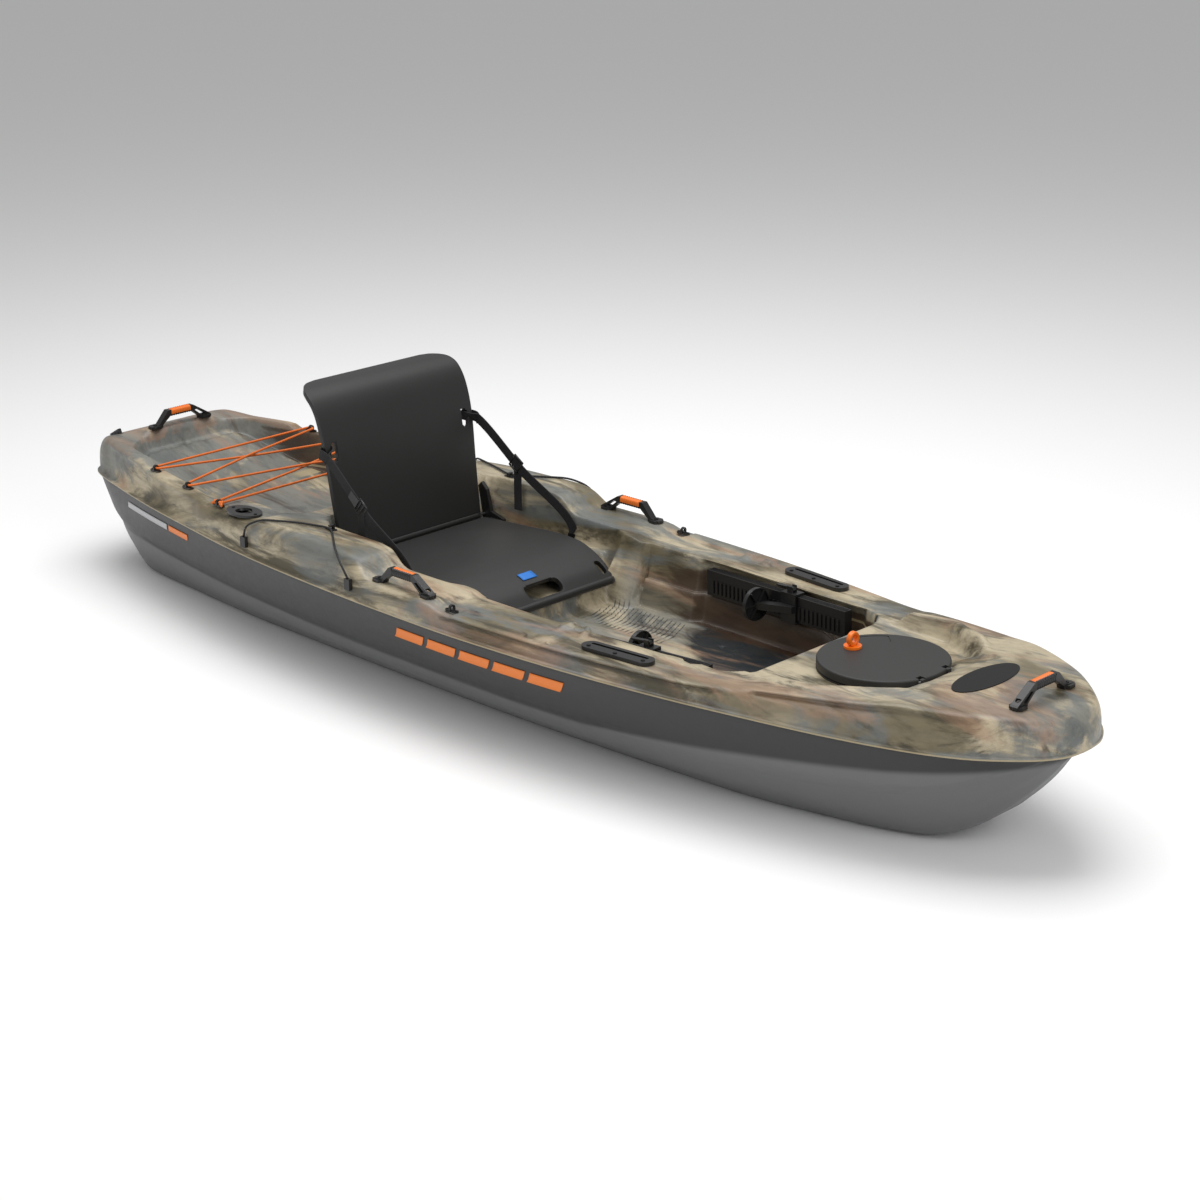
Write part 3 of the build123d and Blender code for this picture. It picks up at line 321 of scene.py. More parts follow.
# the pale lower band rises towards the bow along the chine
above_chine = hull_finish.axis("Z") - (hull_finish.axis("X") - 0.45).most(0) * 0.11
low_band = hull_finish.between(above_chine, 0.098, 0.116)
hull_finish.feed("Base Color", hull_finish.mix(low_band, (0.135, 0.135, 0.138), (0.021, 0.021, 0.0215)))
grain = hull_finish.noise(60, hull_finish.place(), 3)
hull_finish.feed("Roughness", grain * 0.12 + 0.36)
hull_finish.relief(hull_finish.noise(900, hull_finish.place(), 2), 0.0004, 0.25)
hull.data.materials.append(hull_finish.material)
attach(hull, "kayak")
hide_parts("hull_shell")

# ---------------------------------------------------------------- deck
# Upper sheet, thermoformed in marbled camouflage plastic: gunwales, tank well, seat well, footwell and bow
# deck in one piece. Its top is a height worked out over the plan; the skirt rolls over to the seam lip.
TOP = [(-1500, 312), (-1470, 333), (-1440, 345), (-1400, 352), (-1300, 346), (-1180, 346), (-1140, 341),
       (-900, 338), (-620, 339), (-450, 345), (-250, 344), (-205, 338), (-160, 306), (-140, 301), (20, 300),
       (55, 297), (85, 290), (700, 289), (860, 297), (900, 304), (1140, 325), (1230, 334), (1360, 331),
       (1420, 327), (1460, 320), (1500, 308)]
RAIL_EDGE = [(-1500, 60), (1000, 222), (1060, 194), (1120, 166), (1160, 140), (1500, 60)]
TANK_EDGE = [(-1356, 150), (-1330, 172), (-1300, 196), (-1109, 236), (-950, 270), (-860, 292), (-815, 296),
             (-785, 276), (-762, 252), (-691, 250), (-600, 268), (-540, 268)]
TANK_FLOOR = [(-1370, 326), (-1300, 302), (-1200, 274), (-1100, 248), (-950, 225), (-850, 213), (-700, 205),
              (-540, 203)]
FOOT_EDGE = [(-475, 268), (-300, 272), (-60, 272), (-15, 270), (15, 262), (60, 258), (110, 266), (160, 266),
             (350, 265), (470, 260), (730, 252), (825, 250)]
SCALLOPS = [(-475, 0), (300, 0), (350, 6), (372, 4), (430, 2), (470, 3), (625, 6), (645, 10), (668, 11),
            (684, 2), (702, 0), (720, 12), (770, 4), (825, 0)]
WELL_SPLIT, SEAM_ROOT, WALL = -508, 256, 22
SEAT_FLOOR, FOOT_FLOOR, LEDGE_RISE = 195, 145, 67
HATCH_X, HATCH_SEAT, HATCH_HOLE_R = 1003, 288, 119
RIB_PITCH, RIB_DEPTH, RIB_TURN_Y = 13.5, 4.2, 127
ROD_X, ROD_Y = -680, 320
DRAIN_X, DRAIN_Y, DRAIN_R = -1432, -150, 12


def ease(value, low, high):
    """0 below low, 1 above high, smooth in between."""
    t = np.clip((value - low) / (high - low), 0, 1)
    return t * t * (3 - 2 * t)


def mound(x, y, at, half, soft=8):
    """Flat-topped bump, 1 within half of at and 0 a soft edge further out, on both sides of the boat."""
    dx, dy = np.abs(x - at[0]) - half[0], np.abs(np.abs(y) - at[1]) - half[1]
    away = np.hypot(np.maximum(dx, 0), np.maximum(dy, 0)) + np.minimum(np.maximum(dx, dy), 0)
    return 1 - ease(away, 0, soft)


def inside(x, y, ends, edge, corner):
    """Signed distance to a well's rounded plan outline, negative inside it."""
    middle, half = (ends[0] + ends[1]) / 2, (ends[1] - ends[0]) / 2
    dx, dy = np.abs(x - middle) - half + corner, np.abs(y) - edge + corner
    return np.hypot(np.maximum(dx, 0), np.maximum(dy, 0)) + np.minimum(np.maximum(dx, dy), 0) - corner


def foot_edge(x, side):
    """Half-width of the seat well and footwell; the starboard edge is scalloped."""
    x = np.clip(x, -475, 825)
    return faired(FOOT_EDGE, x) - faired(SCALLOPS, x) * (side < 0)


def rounded(distance, radius):
    """Rise of a rolled edge: 0 at distance 0, 1 one radius in, as a quarter ellipse."""
    return np.sqrt(np.maximum(1 - (1 - np.clip(distance / radius, 0, 1)) ** 2, 0))


def deck_height(x, y):
    """Height of the deck's top over the plan: the crown, less the wells, plus ledges, ribs and dimples."""
    side = np.abs(y)
    crown = faired(TOP, x)
    # crowns lie lower under the bungee eyes and rod holders, on the inner half of the gunwales
    eye_shelf = ease(x, -1190, -1150) * (1 - ease(x, -620, -585))
    shelf_edge = faired([(-1200, 262), (-1123, 268), (-944, 303), (-773, 338), (-740, 352), (-620, 352)],
                        np.clip(x, -1200, -620))
    crown = crown + (331 - crown) * eye_shelf * (1 - ease(side, shelf_edge, shelf_edge + 16))
    stern_pad = ease(x, -1410, -1380) * (1 - ease(x, -1340, -1325))
    crown = np.where(stern_pad > 0, crown + (362 - crown) * stern_pad * (1 - ease(side, 96, 130)), crown)
    crown = crown - 9 * mound(x, y, (108, 372), (14, 8), 9) * (side > 340)
    # sunken bow deck: level round the hatch, a ramp ahead of it, raised side rails outboard
    rail_edge = faired(RAIL_EDGE, x)
    sunk = 1 - ease(side, rail_edge - 16, rail_edge)
    ramp = HATCH_SEAT + 0.369 * np.maximum(x - 1090, 0)
    bow_floor = np.where((x > 700) & (x < 1240), np.minimum(ramp, crown), crown)
    crown = crown + (bow_floor - crown) * sunk
    rail = ease(x, 868, 896) * (1 - ease(x, 1110, 1170)) * ease(side, rail_edge - 6, rail_edge + 4)
    crown = crown + np.where(y > 0, 17, 3) * rail * (1 - ease(side, rail_edge + 14, rail_edge + 30))
    # accessory moulding of the gunwale: two wedge bumps and, to starboard, an arched ridge
    wedge = mound(x, y, (341, 342), (9, 13), 7) + mound(x, y, (401, 340), (9, 13), 7)
    crown = crown + 10 * wedge * (y > 0) - 8 * wedge * (y < 0)
    arch = np.exp(-((np.hypot(x - 393, y + 288) - 34) / 6.5) ** 2) * (y > -292) * (y < 0)
    crown = crown + 12 * arch
    # tank well: its floor climbs to the stern, with a broad raised panel inside a channel
    tank = inside(x, y, (-1356, -540), faired(TANK_EDGE, np.clip(x, -1356, -540)), 60)
    panel_in = np.maximum(tank + 44, np.abs(x + 1040) - 292)
    tank_floor = faired(TANK_FLOOR, x) + 12 * (1 - ease(panel_in, -4, 4))
    slats = np.exp(-((np.mod(x, 34) - 17) / 3) ** 2) * (1 - ease(tank, -70, -60)) * (x > -800)
    tank_floor = tank_floor - 3 * slats
    tank_floor = np.minimum(tank_floor, crown)
    height = tank_floor + (crown - tank_floor) * ease(tank, -WALL, 0)
    # seat well and footwell: a step at the seat's front edge, side ledges and sloping pilasters
    foot = inside(x, y, (-475, 825), foot_edge(x, np.sign(y)), 70)
    floor = SEAT_FLOOR + (FOOT_FLOOR - SEAT_FLOOR) * ease(x, 18, 40)
    ledge = (1 - ease(x, 640, 760)) * ease(x, 100, 112)
    floor = floor + ledge * LEDGE_RISE * ease(foot, -42, -30)
    seat_ledge = ease(x, -152, -138) * (1 - ease(x, -30, -12))
    floor = floor + seat_ledge * 46 * ease(foot, -46, -36)
    pilaster = ease(x, 8, 18) * (1 - ease(x, 92, 106))
    floor = np.maximum(floor, floor + (289 - floor) * pilaster * np.clip((foot + 74) / 70, 0, 1))
    # chevron grip ribs on the footwell floor, their rows 13.5 mm apart, then cross lines and screw dimples
    chevron = x + np.maximum(side - RIB_TURN_Y, 0) * 0.45 - np.maximum(RIB_TURN_Y - side, 0) * 0.1
    ribs = np.exp(-((np.mod(chevron, RIB_PITCH) - RIB_PITCH / 2) / 2.0) ** 2)
    ribs = ribs * ease(side, 66, 70) * (1 - ease(side, 200, 206))
    ribs = ribs * ease(x, 48, 56) * (1 - ease(chevron, 306, 308))
    floor = floor - RIB_DEPTH * ribs
    cross = sum(np.exp(-((x - at + (side - 35) * 0.24) / 2.2) ** 2) for at in (383, 500))
    floor = floor - 3.0 * cross * (side < 205)
    floor = floor - 4 * np.exp(-((side - 34) / 5) ** 2) * ease(x, 60, 110) * (1 - ease(x, 740, 780))
    pits = sum(np.exp(-(np.hypot(x - px, side - py) / 6) ** 2) for px in (430, 570) for py in (70, 150))
    floor = floor - 5 * pits
    height = np.where(x > WELL_SPLIT, floor + (crown - floor) * ease(foot, -WALL, 0), height)
    # the round seat for the hatch
    hatch = np.hypot(x - HATCH_X, y)
    seat = (1 - ease(hatch, 141, 148)) * (hatch < 160) * (x > 862)
    height = height + (HATCH_SEAT - height) * seat
    # the ends roll down to the seam
    ends = rounded(x + 1500, 46) * rounded(1500 - x, 34)
    return SEAM_ROOT + (height - SEAM_ROOT) * np.where(height > SEAM_ROOT, ends, 1)


def dense(start, stop, step):
    """Even stations from start to stop, about one step apart."""
    return np.linspace(start, stop, int(round((stop - start) / step)) + 1)


stern_roll = -1500 + 46 * (1 - np.cos(np.linspace(0, math.pi / 2, 9)))
nose_roll = 1500 - 60 * (1 - np.cos(np.linspace(0, math.pi / 2, 14)))
deck_x = np.unique(np.round(np.concatenate([
    stern_roll, dense(-1454, -1370, 12), dense(-1370, -1290, 8), dense(-1290, -870, 18),
    dense(-870, -740, 10), dense(-740, -560, 12), dense(-560, -480, 5), dense(-480, -210, 16),
    dense(-210, 112, 7),
    dense(112, 310, 4.5), dense(310, 520, 6), dense(520, 760, 10), dense(760, 870, 6), dense(870, 1170, 9),
    dense(1170, 1440, 12), nose_roll]), 2))
half = breadth(deck_x)
tight = ease(deck_x, -205, -165) * (1 - ease(deck_x, 700, 860))
shoulder = np.minimum(36 - 17 * tight, half * 0.4)
flat = half - 9 * np.minimum(half / 60, 1) - shoulder


def half_columns(side):
    """Half of the deck's grid, centre line to lip: y and z at every station, for one side of the boat."""
    tank_edge = faired(TANK_EDGE, np.clip(deck_x, -1356, -540))
    edge = np.where(deck_x < WELL_SPLIT, tank_edge, foot_edge(deck_x, side))
    edge = np.minimum(edge + 2, flat * 0.96)
    wide = np.minimum(edge / 200, 1)
    keys = [flat, np.minimum(edge + 4, flat * 0.98), edge - (WALL + 2) * wide, edge * 0.84 - 6 * wide,
            edge * 0.72 - 6 * wide, edge * 0.30, edge * 0]
    top_y = between_keys([(k, k) for k in keys], [6, 14, 7, 5, 16, 5])[:, ::-1, 0]
    top_z = deck_height(deck_x[:, None], side * top_y)
    # the wall stands back under the gunwale's edge along the foot rails, to clear the sliding pedals
    beside_rail = ease(deck_x, 262, 292) * (1 - ease(deck_x, 738, 768))
    stand_back = ((20 + (side < 0) * faired(SCALLOPS, np.clip(deck_x, -475, 825))) * beside_rail)[:, None]
    below_edge = ease(faired(TOP, deck_x)[:, None] - top_z, 0.5, 5)
    top_y = top_y + stand_back * below_edge * ease(top_y, edge[:, None] - 90, edge[:, None] - 34)
    angle = np.linspace(0, math.pi / 2, 10)[None, 1:]
    lip = np.minimum(half / 60, 1)[:, None]
    rim_z = top_z[:, -1:]
    x, down = deck_x[:, None], angle / (math.pi / 2)

    def band(ends, levels, depth):
        """Recess pressed into the skirt between two stations and two levels, 0 at the crown and 1 at the
        seam."""
        along = ease(x, ends[0], ends[0] + 24) * (1 - ease(x, ends[1] - ends[2], ends[1]))
        upper, lower = levels
        return depth * along * ease(down, upper, upper + 0.09) * (1 - ease(down, lower - 0.09, lower))

    recess = (band((84, 850, 40), (0.5, 0.78), 12) + band((905, 1400, 260), (0.34, 0.66), 15)
              + band((-1420, -840, 60), (0.42, 0.98), 8) + band((-560, 60, 200), (0.66, 0.86), 4))
    skirt_y = flat[:, None] + shoulder[:, None] * np.sin(angle) ** 0.8 - recess * lip
    skirt_z = 257 + (rim_z - 257) * np.cos(angle) ** 0.62
    outer = half[:, None]
    lip_y = np.concatenate([skirt_y[:, -1:] + lip, outer - lip * 1.5, outer, outer, outer - lip * 1.5,
                            outer - lip * 12], 1)
    lip_z = np.broadcast_to(np.array([[256.5, 255.5, 254, 250.5, 249, 248.6]]), lip_y.shape)
    skirt_z = np.minimum(np.maximum(skirt_z, 257), np.maximum(rim_z, 257))
    half_y = np.concatenate([top_y, skirt_y, lip_y], 1) * side
    return np.stack([half_y, np.concatenate([top_z, skirt_z, lip_z], 1)], -1)


whole = np.concatenate([half_columns(-1)[:, :0:-1], half_columns(1)], 1)
deck_points = np.concatenate([np.broadcast_to(deck_x[:, None, None], whole.shape[:2] + (1,)), whole], 2)
stern_cap = deck_points[:1] * (1, 0, 1)
deck_points = np.concatenate([stern_cap, deck_points])
centre = (deck_points[1:, 1:] + deck_points[:-1, 1:] + deck_points[1:, :-1] + deck_points[:-1, :-1]) / 4
open_hatch = np.hypot(centre[..., 0] - HATCH_X, centre[..., 1]) < HATCH_HOLE_R
open_rod = np.hypot((centre[..., 0] - ROD_X) / 36, (np.abs(centre[..., 1]) - ROD_Y) / 25) < 1
open_drain = np.hypot(centre[..., 0] - DRAIN_X, centre[..., 1] - DRAIN_Y) < DRAIN_R
deck = facing(cleaned(surface("deck_sheet", deck_points, ~(open_hatch | open_rod | open_drain))), True)
thickened(deck, SHEET)

camo = Finish("deck_marbled_plastic", (0.2, 0.17, 0.12), 0.42)
BEIGE, KHAKI, OLIVE = (0.47, 0.40, 0.275), (0.17, 0.14, 0.083), (0.045, 0.038, 0.020)
SLATE, DEEP_SLATE = (0.14, 0.155, 0.155), (0.012, 0.016, 0.019)
SALMON, BROWN = (0.36, 0.21, 0.13), (0.045, 0.022, 0.010)
flow = camo.place((1.3, 3.6, 3.6))
big = camo.noise(1.15, flow, 5, 0.58, 1.3)
fine = camo.noise(3.1, camo.place((1.0, 4.2, 4.2), (3, 1, 2)), 6, 0.66, 0.9)
dusk = camo.noise(1.4, camo.place((1.2, 3.4, 3.4), (7, 5, 1)), 6, 0.6, 1.4)
warm = camo.noise(1.3, camo.place((1.3, 4.2, 4.2), (2, 9, 4)), 6, 0.6, 1.2)
umber = camo.noise(1.6, camo.place((1.2, 3.8, 3.8), (11, 3, 8)), 6, 0.6, 1.2)
x_here, y_here, z_here = camo.axis("X"), camo.axis("Y"), camo.axis("Z")
colour = camo.mix(camo.between(big, 0.46, 0.62), BEIGE, KHAKI)
# painted shade: the deck's side skirt below the crown is pushed towards olive, darker than the top
skirt_painted_shade = camo.between(y_here.size(), 0.26, 0.40) * (1 - camo.between(z_here, 0.27, 0.30))
colour = camo.mix(camo.between(fine + skirt_painted_shade * 0.10, 0.48, 0.64) * 0.9, colour, OLIVE)
in_tank = (1 - camo.between(x_here, -0.62, -0.5)) * (1 - camo.between(y_here.size(), 0.2, 0.25))
foot = camo.between(x_here, 0.02, 0.1) * (1 - camo.between(x_here, 0.80, 0.83)) * (
    1 - camo.between(y_here.size(), 0.21, 0.25))
fore_foot = foot * camo.between(x_here, 0.28, 0.5)
bow_haze = camo.between(x_here, 0.95, 1.05) * (1 - camo.between(y_here, -0.02, 0.1))
slate_share = camo.between(dusk + in_tank * 0.16 + foot * 0.08 + bow_haze * 0.08, 0.50, 0.60)
colour = camo.mix(slate_share * 0.8, colour, SLATE)
pale_floor = foot * (1 - camo.between(x_here, 0.25, 0.5)) * camo.between(big, 0.35, 0.55)
colour = camo.mix(pale_floor * 0.65, colour, (0.30, 0.285, 0.24))
port_foot = fore_foot * camo.between(y_here, -0.05, 0.10)
seat_nook = camo.between(y_here, 0.05, 0.15) * camo.between(x_here, 0.0, 0.12) * (
    1 - camo.between(z_here, 0.20, 0.285))
deep = camo.between(dusk + port_foot * 0.40 + seat_nook * 0.17 + in_tank * 0.03, 0.62, 0.76)
colour = camo.mix(deep, colour, DEEP_SLATE)
gunwale = camo.between(y_here.size(), 0.24, 0.3) * camo.between(x_here, 0.2, 0.4)
nose_area = camo.between(x_here, 1.15, 1.35) * camo.between(z_here, 0.27, 0.3)
stern_top = (1 - camo.between(x_here, -1.25, -0.9)) * camo.between(z_here, 0.33, 0.34)
warm_share = camo.between(warm + gunwale * 0.06 + nose_area * 0.08 + stern_top * 0.08, 0.54, 0.66)
colour = camo.mix(warm_share * 0.5, colour, SALMON)
# brown: umber blotches of the marbled plastic, plus painted shade pushed onto the port inner walls of the
# tank well and the footwell
tank_wall_painted_shade = camo.between(y_here, 0.17, 0.23) * (1 - camo.between(x_here, -0.6, -0.45)) * (
    1 - camo.between(z_here, 0.325, 0.340))
foot_wall_painted_shade = camo.between(y_here, 0.2, 0.25) * camo.between(x_here, 0.08, 0.3) * (
    1 - camo.between(z_here, 0.25, 0.285))
brown_and_wall_shade = camo.between(umber + tank_wall_painted_shade * 0.34 + foot_wall_painted_shade * 0.34, 0.58, 0.70)
colour = camo.mix(brown_and_wall_shade * 0.85, colour, BROWN)
# painted shade in the chevron grooves of the footwell floor: deep slate mixed into the colour along each
# groove row
off_centre = y_here.size()
turn_y, pitch = RIB_TURN_Y * MM, RIB_PITCH * MM
chevron = x_here + (off_centre - turn_y).most(0) * 0.45 - (turn_y - off_centre).most(0) * 0.1
row = (chevron % pitch - pitch / 2).size()
grip = camo.between(off_centre, 0.066, 0.070) * (1 - camo.between(off_centre, 0.200, 0.206))
grip = grip * camo.between(x_here, 0.048, 0.056)
grip = grip * (1 - camo.between(chevron, 0.306, 0.308)) * (1 - camo.between(z_here, 0.150, 0.165))
colour = camo.mix((1 - camo.between(row, 0.0008, 0.0024)) * grip * 0.8, colour, DEEP_SLATE)
speckle = camo.noise(30, camo.place((0.5, 1.4, 1.4)), 6, 0.75)
colour = camo.mix(camo.between(speckle, 0.42, 0.75) * 0.35, colour, OLIVE)
lip_line = camo.between(z_here, 0.2475, 0.2480) * (1 - camo.between(z_here, 0.2515, 0.2545))
outside = camo.between(y_here.size() + x_here.size() * 0.24, 0.36, 0.40)
colour = camo.mix(lip_line * outside * 0.8, colour, (0.42, 0.34, 0.20))
camo.feed("Base Color", colour)
camo.feed("Roughness", speckle * 0.2 + 0.30)
camo.relief(camo.noise(420, camo.place(), 3), 0.0006, 0.35)
deck.data.materials.append(camo.material)
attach(deck, "kayak")
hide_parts("deck_shell")

# ---------------------------------------------------------------- seat base and back
# Two blow-moulded panels with a soft charcoal skin, 12 mm thick, on a hinge across the boat. The base
# slopes down to a rolled front bar by the grab hole; the back rolls rearwards at its rounded top.
PANEL = 12
BASE_LINE = [(-424, 243), (-300, 251), (-150, 259), (-95, 256), (-48, 246), (0, 226), (34, 198)]
BACK_LINE = [(-441, 258), (-450, 320), (-461, 400), (-474, 499), (-485, 545), (-500, 588), (-524, 620),
             (-552, 635), (-584, 640)]


def rounded_box(u, v, centre, half, corner):
    """Signed distance to a rounded rectangle in a panel's own plane, and its gradient."""
    du, dv = u - centre[0], v - centre[1]
    qu, qv = np.abs(du) - half[0] + corner, np.abs(dv) - half[1] + corner
    reach = np.hypot(np.maximum(qu, 0), np.maximum(qv, 0))
    away = reach + np.minimum(np.maximum(qu, qv), 0) - corner
    outer = (qu > 0) | (qv > 0)
    length = np.where(reach > 0, reach, 1)
    gu = np.where(outer, np.maximum(qu, 0) / length, qu > qv) * np.sign(du)
    gv = np.where(outer, np.maximum(qv, 0) / length, qv >= qu) * np.sign(dv)
    return away, gu, gv


def moulded_panel(name, line, half_width, holes, step=5.0, corner=60):
    """Panel swept from a side-view line: rows follow its length, columns its width, and the rows and
    columns beside a hole or a rounded corner are pulled onto its outline. half_width gives the half-width
    by length."""
    line = np.array(line, float)
    length = np.concatenate([[0], np.cumsum(np.hypot(*np.diff(line, axis=0).T))])
    total = length[-1]
    rows = np.linspace(0, total, int(total / step) + 1)
    columns = np.linspace(-1, 1, int(2 * 230 / step) + 1)
    u, v = np.meshgrid(rows, columns, indexing="ij")
    width = np.interp(rows, *np.array(half_width, float).T)
    v = v * width[:, None]
    for centre, half, radius in holes:
        away, gu, gv = rounded_box(u, v, centre, half, radius)
        near = np.abs(away) < 0.55 * step
        u, v = u - away * gu * near, v - away * gv * near
    cu, cv = ((g[1:, 1:] + g[:-1, 1:] + g[1:, :-1] + g[:-1, :-1]) / 4 for g in (u, v))
    keep = np.ones(cu.shape, bool)
    for centre, half, radius in holes:
        keep &= rounded_box(cu, cv, centre, half, radius)[0] > -0.1
    # round the corners at the far end by drawing the rows in towards the middle
    fall = np.clip((corner - (total - u)) / corner, 0, 1)
    v = np.sign(v) * np.minimum(np.abs(v), width[:, None] - corner * (1 - np.sqrt(1 - fall ** 2)))
    x = faired(np.column_stack([length, line[:, 0]]), u)
    z = faired(np.column_stack([length, line[:, 1]]), u)
    return cleaned(surface(name, np.stack([x, v, z], -1), keep))


def soft_edges(piece, width=0.0035):
    """Thickness to both sides of the middle line, then rounded edges."""
    thickened(piece, PANEL * MM, 0)
    bevel = piece.modifiers.new("soft", "BEVEL")
    bevel.width, bevel.segments, bevel.limit_method, bevel.angle_limit = width, 3, "ANGLE", math.radians(50)
    return piece


seat_skin = Finish("seat_charcoal", (0.0085, 0.0085, 0.008), 0.5, Sheen_Weight=0.1, Sheen_Roughness=0.4)
seat_skin.relief(seat_skin.noise(260, seat_skin.place(), 4), 0.0006, 0.3)
seat_skin.feed("Roughness", seat_skin.noise(7, seat_skin.place(), 3) * 0.14 + 0.44)
BASE_WIDTHS = [(0, 225), (330, 225), (430, 212), (490, 206)]
BASE_HOLES = [((441, 0), (21, 55), 16), ((436, -192), (20, 9), 8), ((436, 192), (20, 9), 8)]
seat_base = soft_edges(moulded_panel("seat_pan", BASE_LINE, BASE_WIDTHS, BASE_HOLES, corner=14))
FRONT_BAR = (34, 198)


def tube(name, path, radius, sides=12, closed=False):
    """Round bar along a path: a circle of the given radius in the plane square to the path at each point."""
    path = np.array(path, float)
    run = np.roll(path, -1, 0) - np.roll(path, 1, 0) if closed else np.gradient(path, axis=0)
    run /= np.linalg.norm(run, axis=1, keepdims=True)
    hint = np.where(np.abs(run[:, 2:3]) > 0.9, [[1.0, 0, 0]], [[0, 0, 1.0]])
    first = np.cross(run, hint)
    first /= np.linalg.norm(first, axis=1, keepdims=True)
    second = np.cross(run, first)
    turn = np.linspace(0, 2 * math.pi, sides, endpoint=False)[None, :, None]
    radius = np.broadcast_to(np.reshape(radius, (-1, 1, 1)), (len(path), 1, 1))
    rings = path[:, None] + radius * (np.cos(turn) * first[:, None] + np.sin(turn) * second[:, None])
    if closed:
        rings = np.concatenate([rings, rings[:1]])
    else:
        rings = np.concatenate([np.broadcast_to(path[:1, None], rings[:1].shape), rings,
                                np.broadcast_to(path[-1:, None], rings[:1].shape)])
    return cleaned(surface(name, rings, closed=True))


def joined(first, *others):
    """Makes one mesh of several pieces of one moulding."""
    for piece in (first, *others):
        with bpy.context.temp_override(object=piece, active_object=piece, selected_objects=[piece]):
            for modifier in list(piece.modifiers):
                bpy.ops.object.modifier_apply(modifier=modifier.name)
    with bpy.context.temp_override(object=first, active_object=first, selected_objects=[first, *others],
                                   selected_editable_objects=[first, *others]):
        bpy.ops.object.join()
    return first


across = np.linspace(-1, 1, 41)[:, None]
bar_path = np.concatenate([0 * across + FRONT_BAR[0], across * 206, 0 * across + FRONT_BAR[1]], 1)
front_bar = tube("front_bar", bar_path, 9.5, 16)


def block(name, outline, y, half):
    """Upright plate of the given side-view outline, centred on y and twice half thick."""
    outline = np.array(outline, float)
    ring = np.stack([outline[:, 0], np.full(len(outline), y), outline[:, 1]], -1)
    middle = ring.mean(0, keepdims=True)[:, None] * np.ones((1, len(outline), 1))
    near, far = ring[None] - (0, half, 0), ring[None] + (0, half, 0)
    rings = np.concatenate([middle - (0, half, 0), near, far, middle + (0, half, 0)])
    return cleaned(surface(name, rings, closed=True), False)


RUNNER = [(-410, SEAT_FLOOR + 0.5), (-410, 241), (-300, 248), (-150, 256), (-95, 252), (-48, 242), (-4, 223),
          (-4, SEAT_FLOOR + 0.5)]
seat_base = joined(seat_base, front_bar, *[block("runner", RUNNER, y, 12) for y in (-150, 150)])
seat_base.data.materials.append(seat_skin.material)
tag_x, tag_y = np.meshgrid(np.linspace(-41, -19, 9), np.linspace(-34, 10, 5), indexing="ij")
tag = cleaned(surface("blank_tag", np.stack([tag_x, tag_y, faired(BASE_LINE, tag_x) + 7.6], -1)))
thickened(tag, 0.001, 1)
tag.data.materials.append(Finish("tag_blue_fabric", (0.012, 0.16, 0.55), 0.6).material)
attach(tag, "kayak")
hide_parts("seat_tag")
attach(seat_base, "kayak")
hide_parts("seat_base")

BACK_WIDTHS = [(0, 222), (90, 226), (290, 235), (400, 235), (470, 232)]
BACK_HOLES = [((242, -208), (23, 10), 9), ((242, 208), (23, 10), 9)]
seat_back = soft_edges(moulded_panel("seat_rest", BACK_LINE, BACK_WIDTHS, BACK_HOLES, corner=66))
barrel = tube("barrel", np.concatenate([0 * across - 440, across * 222, 0 * across + 252], 1), 9, 16)
seat_back = joined(seat_back, barrel)
seat_back.data.materials.append(seat_skin.material)
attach(seat_back, "seat_back")
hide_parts("seat_back")

# ---------------------------------------------------------------- seat straps
# Two 25 mm polyester webbing straps from the seat well's sides to the back: each runs up through a
# ladder-lock buckle, loops through the back's slot, and its free end hangs from the buckle.
ANCHOR, BACK_END = np.array((-150, 262, 262.0)), np.array((-458, 240, 494.0))
WEB_W, WEB_T = 25, 2.2


def weave(finish, scale, wander):
    """Slanting ridges of a woven or braided yarn."""
    return finish.node("ShaderNodeTexWave", dict(wave_type="BANDS", bands_direction="DIAGONAL"),
                       {"Vector": finish.place(), "Scale": scale, "Distortion": wander})


web = Finish("black_webbing", (0.012, 0.012, 0.013), 0.8)
web.relief(weave(web, 260.0, 0.2), 0.0006, 0.6)


def ribbon(name, path, width_axis, width=WEB_W, thick=WEB_T):
    """Flat band along a path, its width along the given axis, squared to the path; rectangular in section."""
    path = np.array(path, float)
    run = np.gradient(path, axis=0)
    run /= np.linalg.norm(run, axis=1, keepdims=True)
    wide = np.broadcast_to(np.array(width_axis, float), path.shape)
    wide = wide - (wide * run).sum(1, keepdims=True) * run
    wide = wide / np.linalg.norm(wide, axis=1, keepdims=True)
    up = np.cross(run, wide)
    corners = np.array([(-1, -1), (1, -1), (1, 1), (-1, 1)]) / 2
    rings = (path[:, None] + corners[None, :, :1] * width * wide[:, None]
             + corners[None, :, 1:] * thick * up[:, None])
    rings = np.concatenate([np.broadcast_to(path[:1, None], rings[:1].shape), rings,
                            np.broadcast_to(path[-1:, None], rings[:1].shape)])
    return cleaned(surface(name, rings, closed=True), False)


def swept(points, steps=8):
    """Smooth path through points: each coordinate faired over the chord length, in even steps."""
    points = np.array(points, float)
    length = np.concatenate([[0], np.cumsum(np.linalg.norm(np.diff(points, axis=0), axis=1))])
    at = np.linspace(0, length[-1], steps * (len(points) - 1) + 1)
    return np.stack([faired(np.column_stack([length, points[:, k]]), at) for k in range(3)], -1)


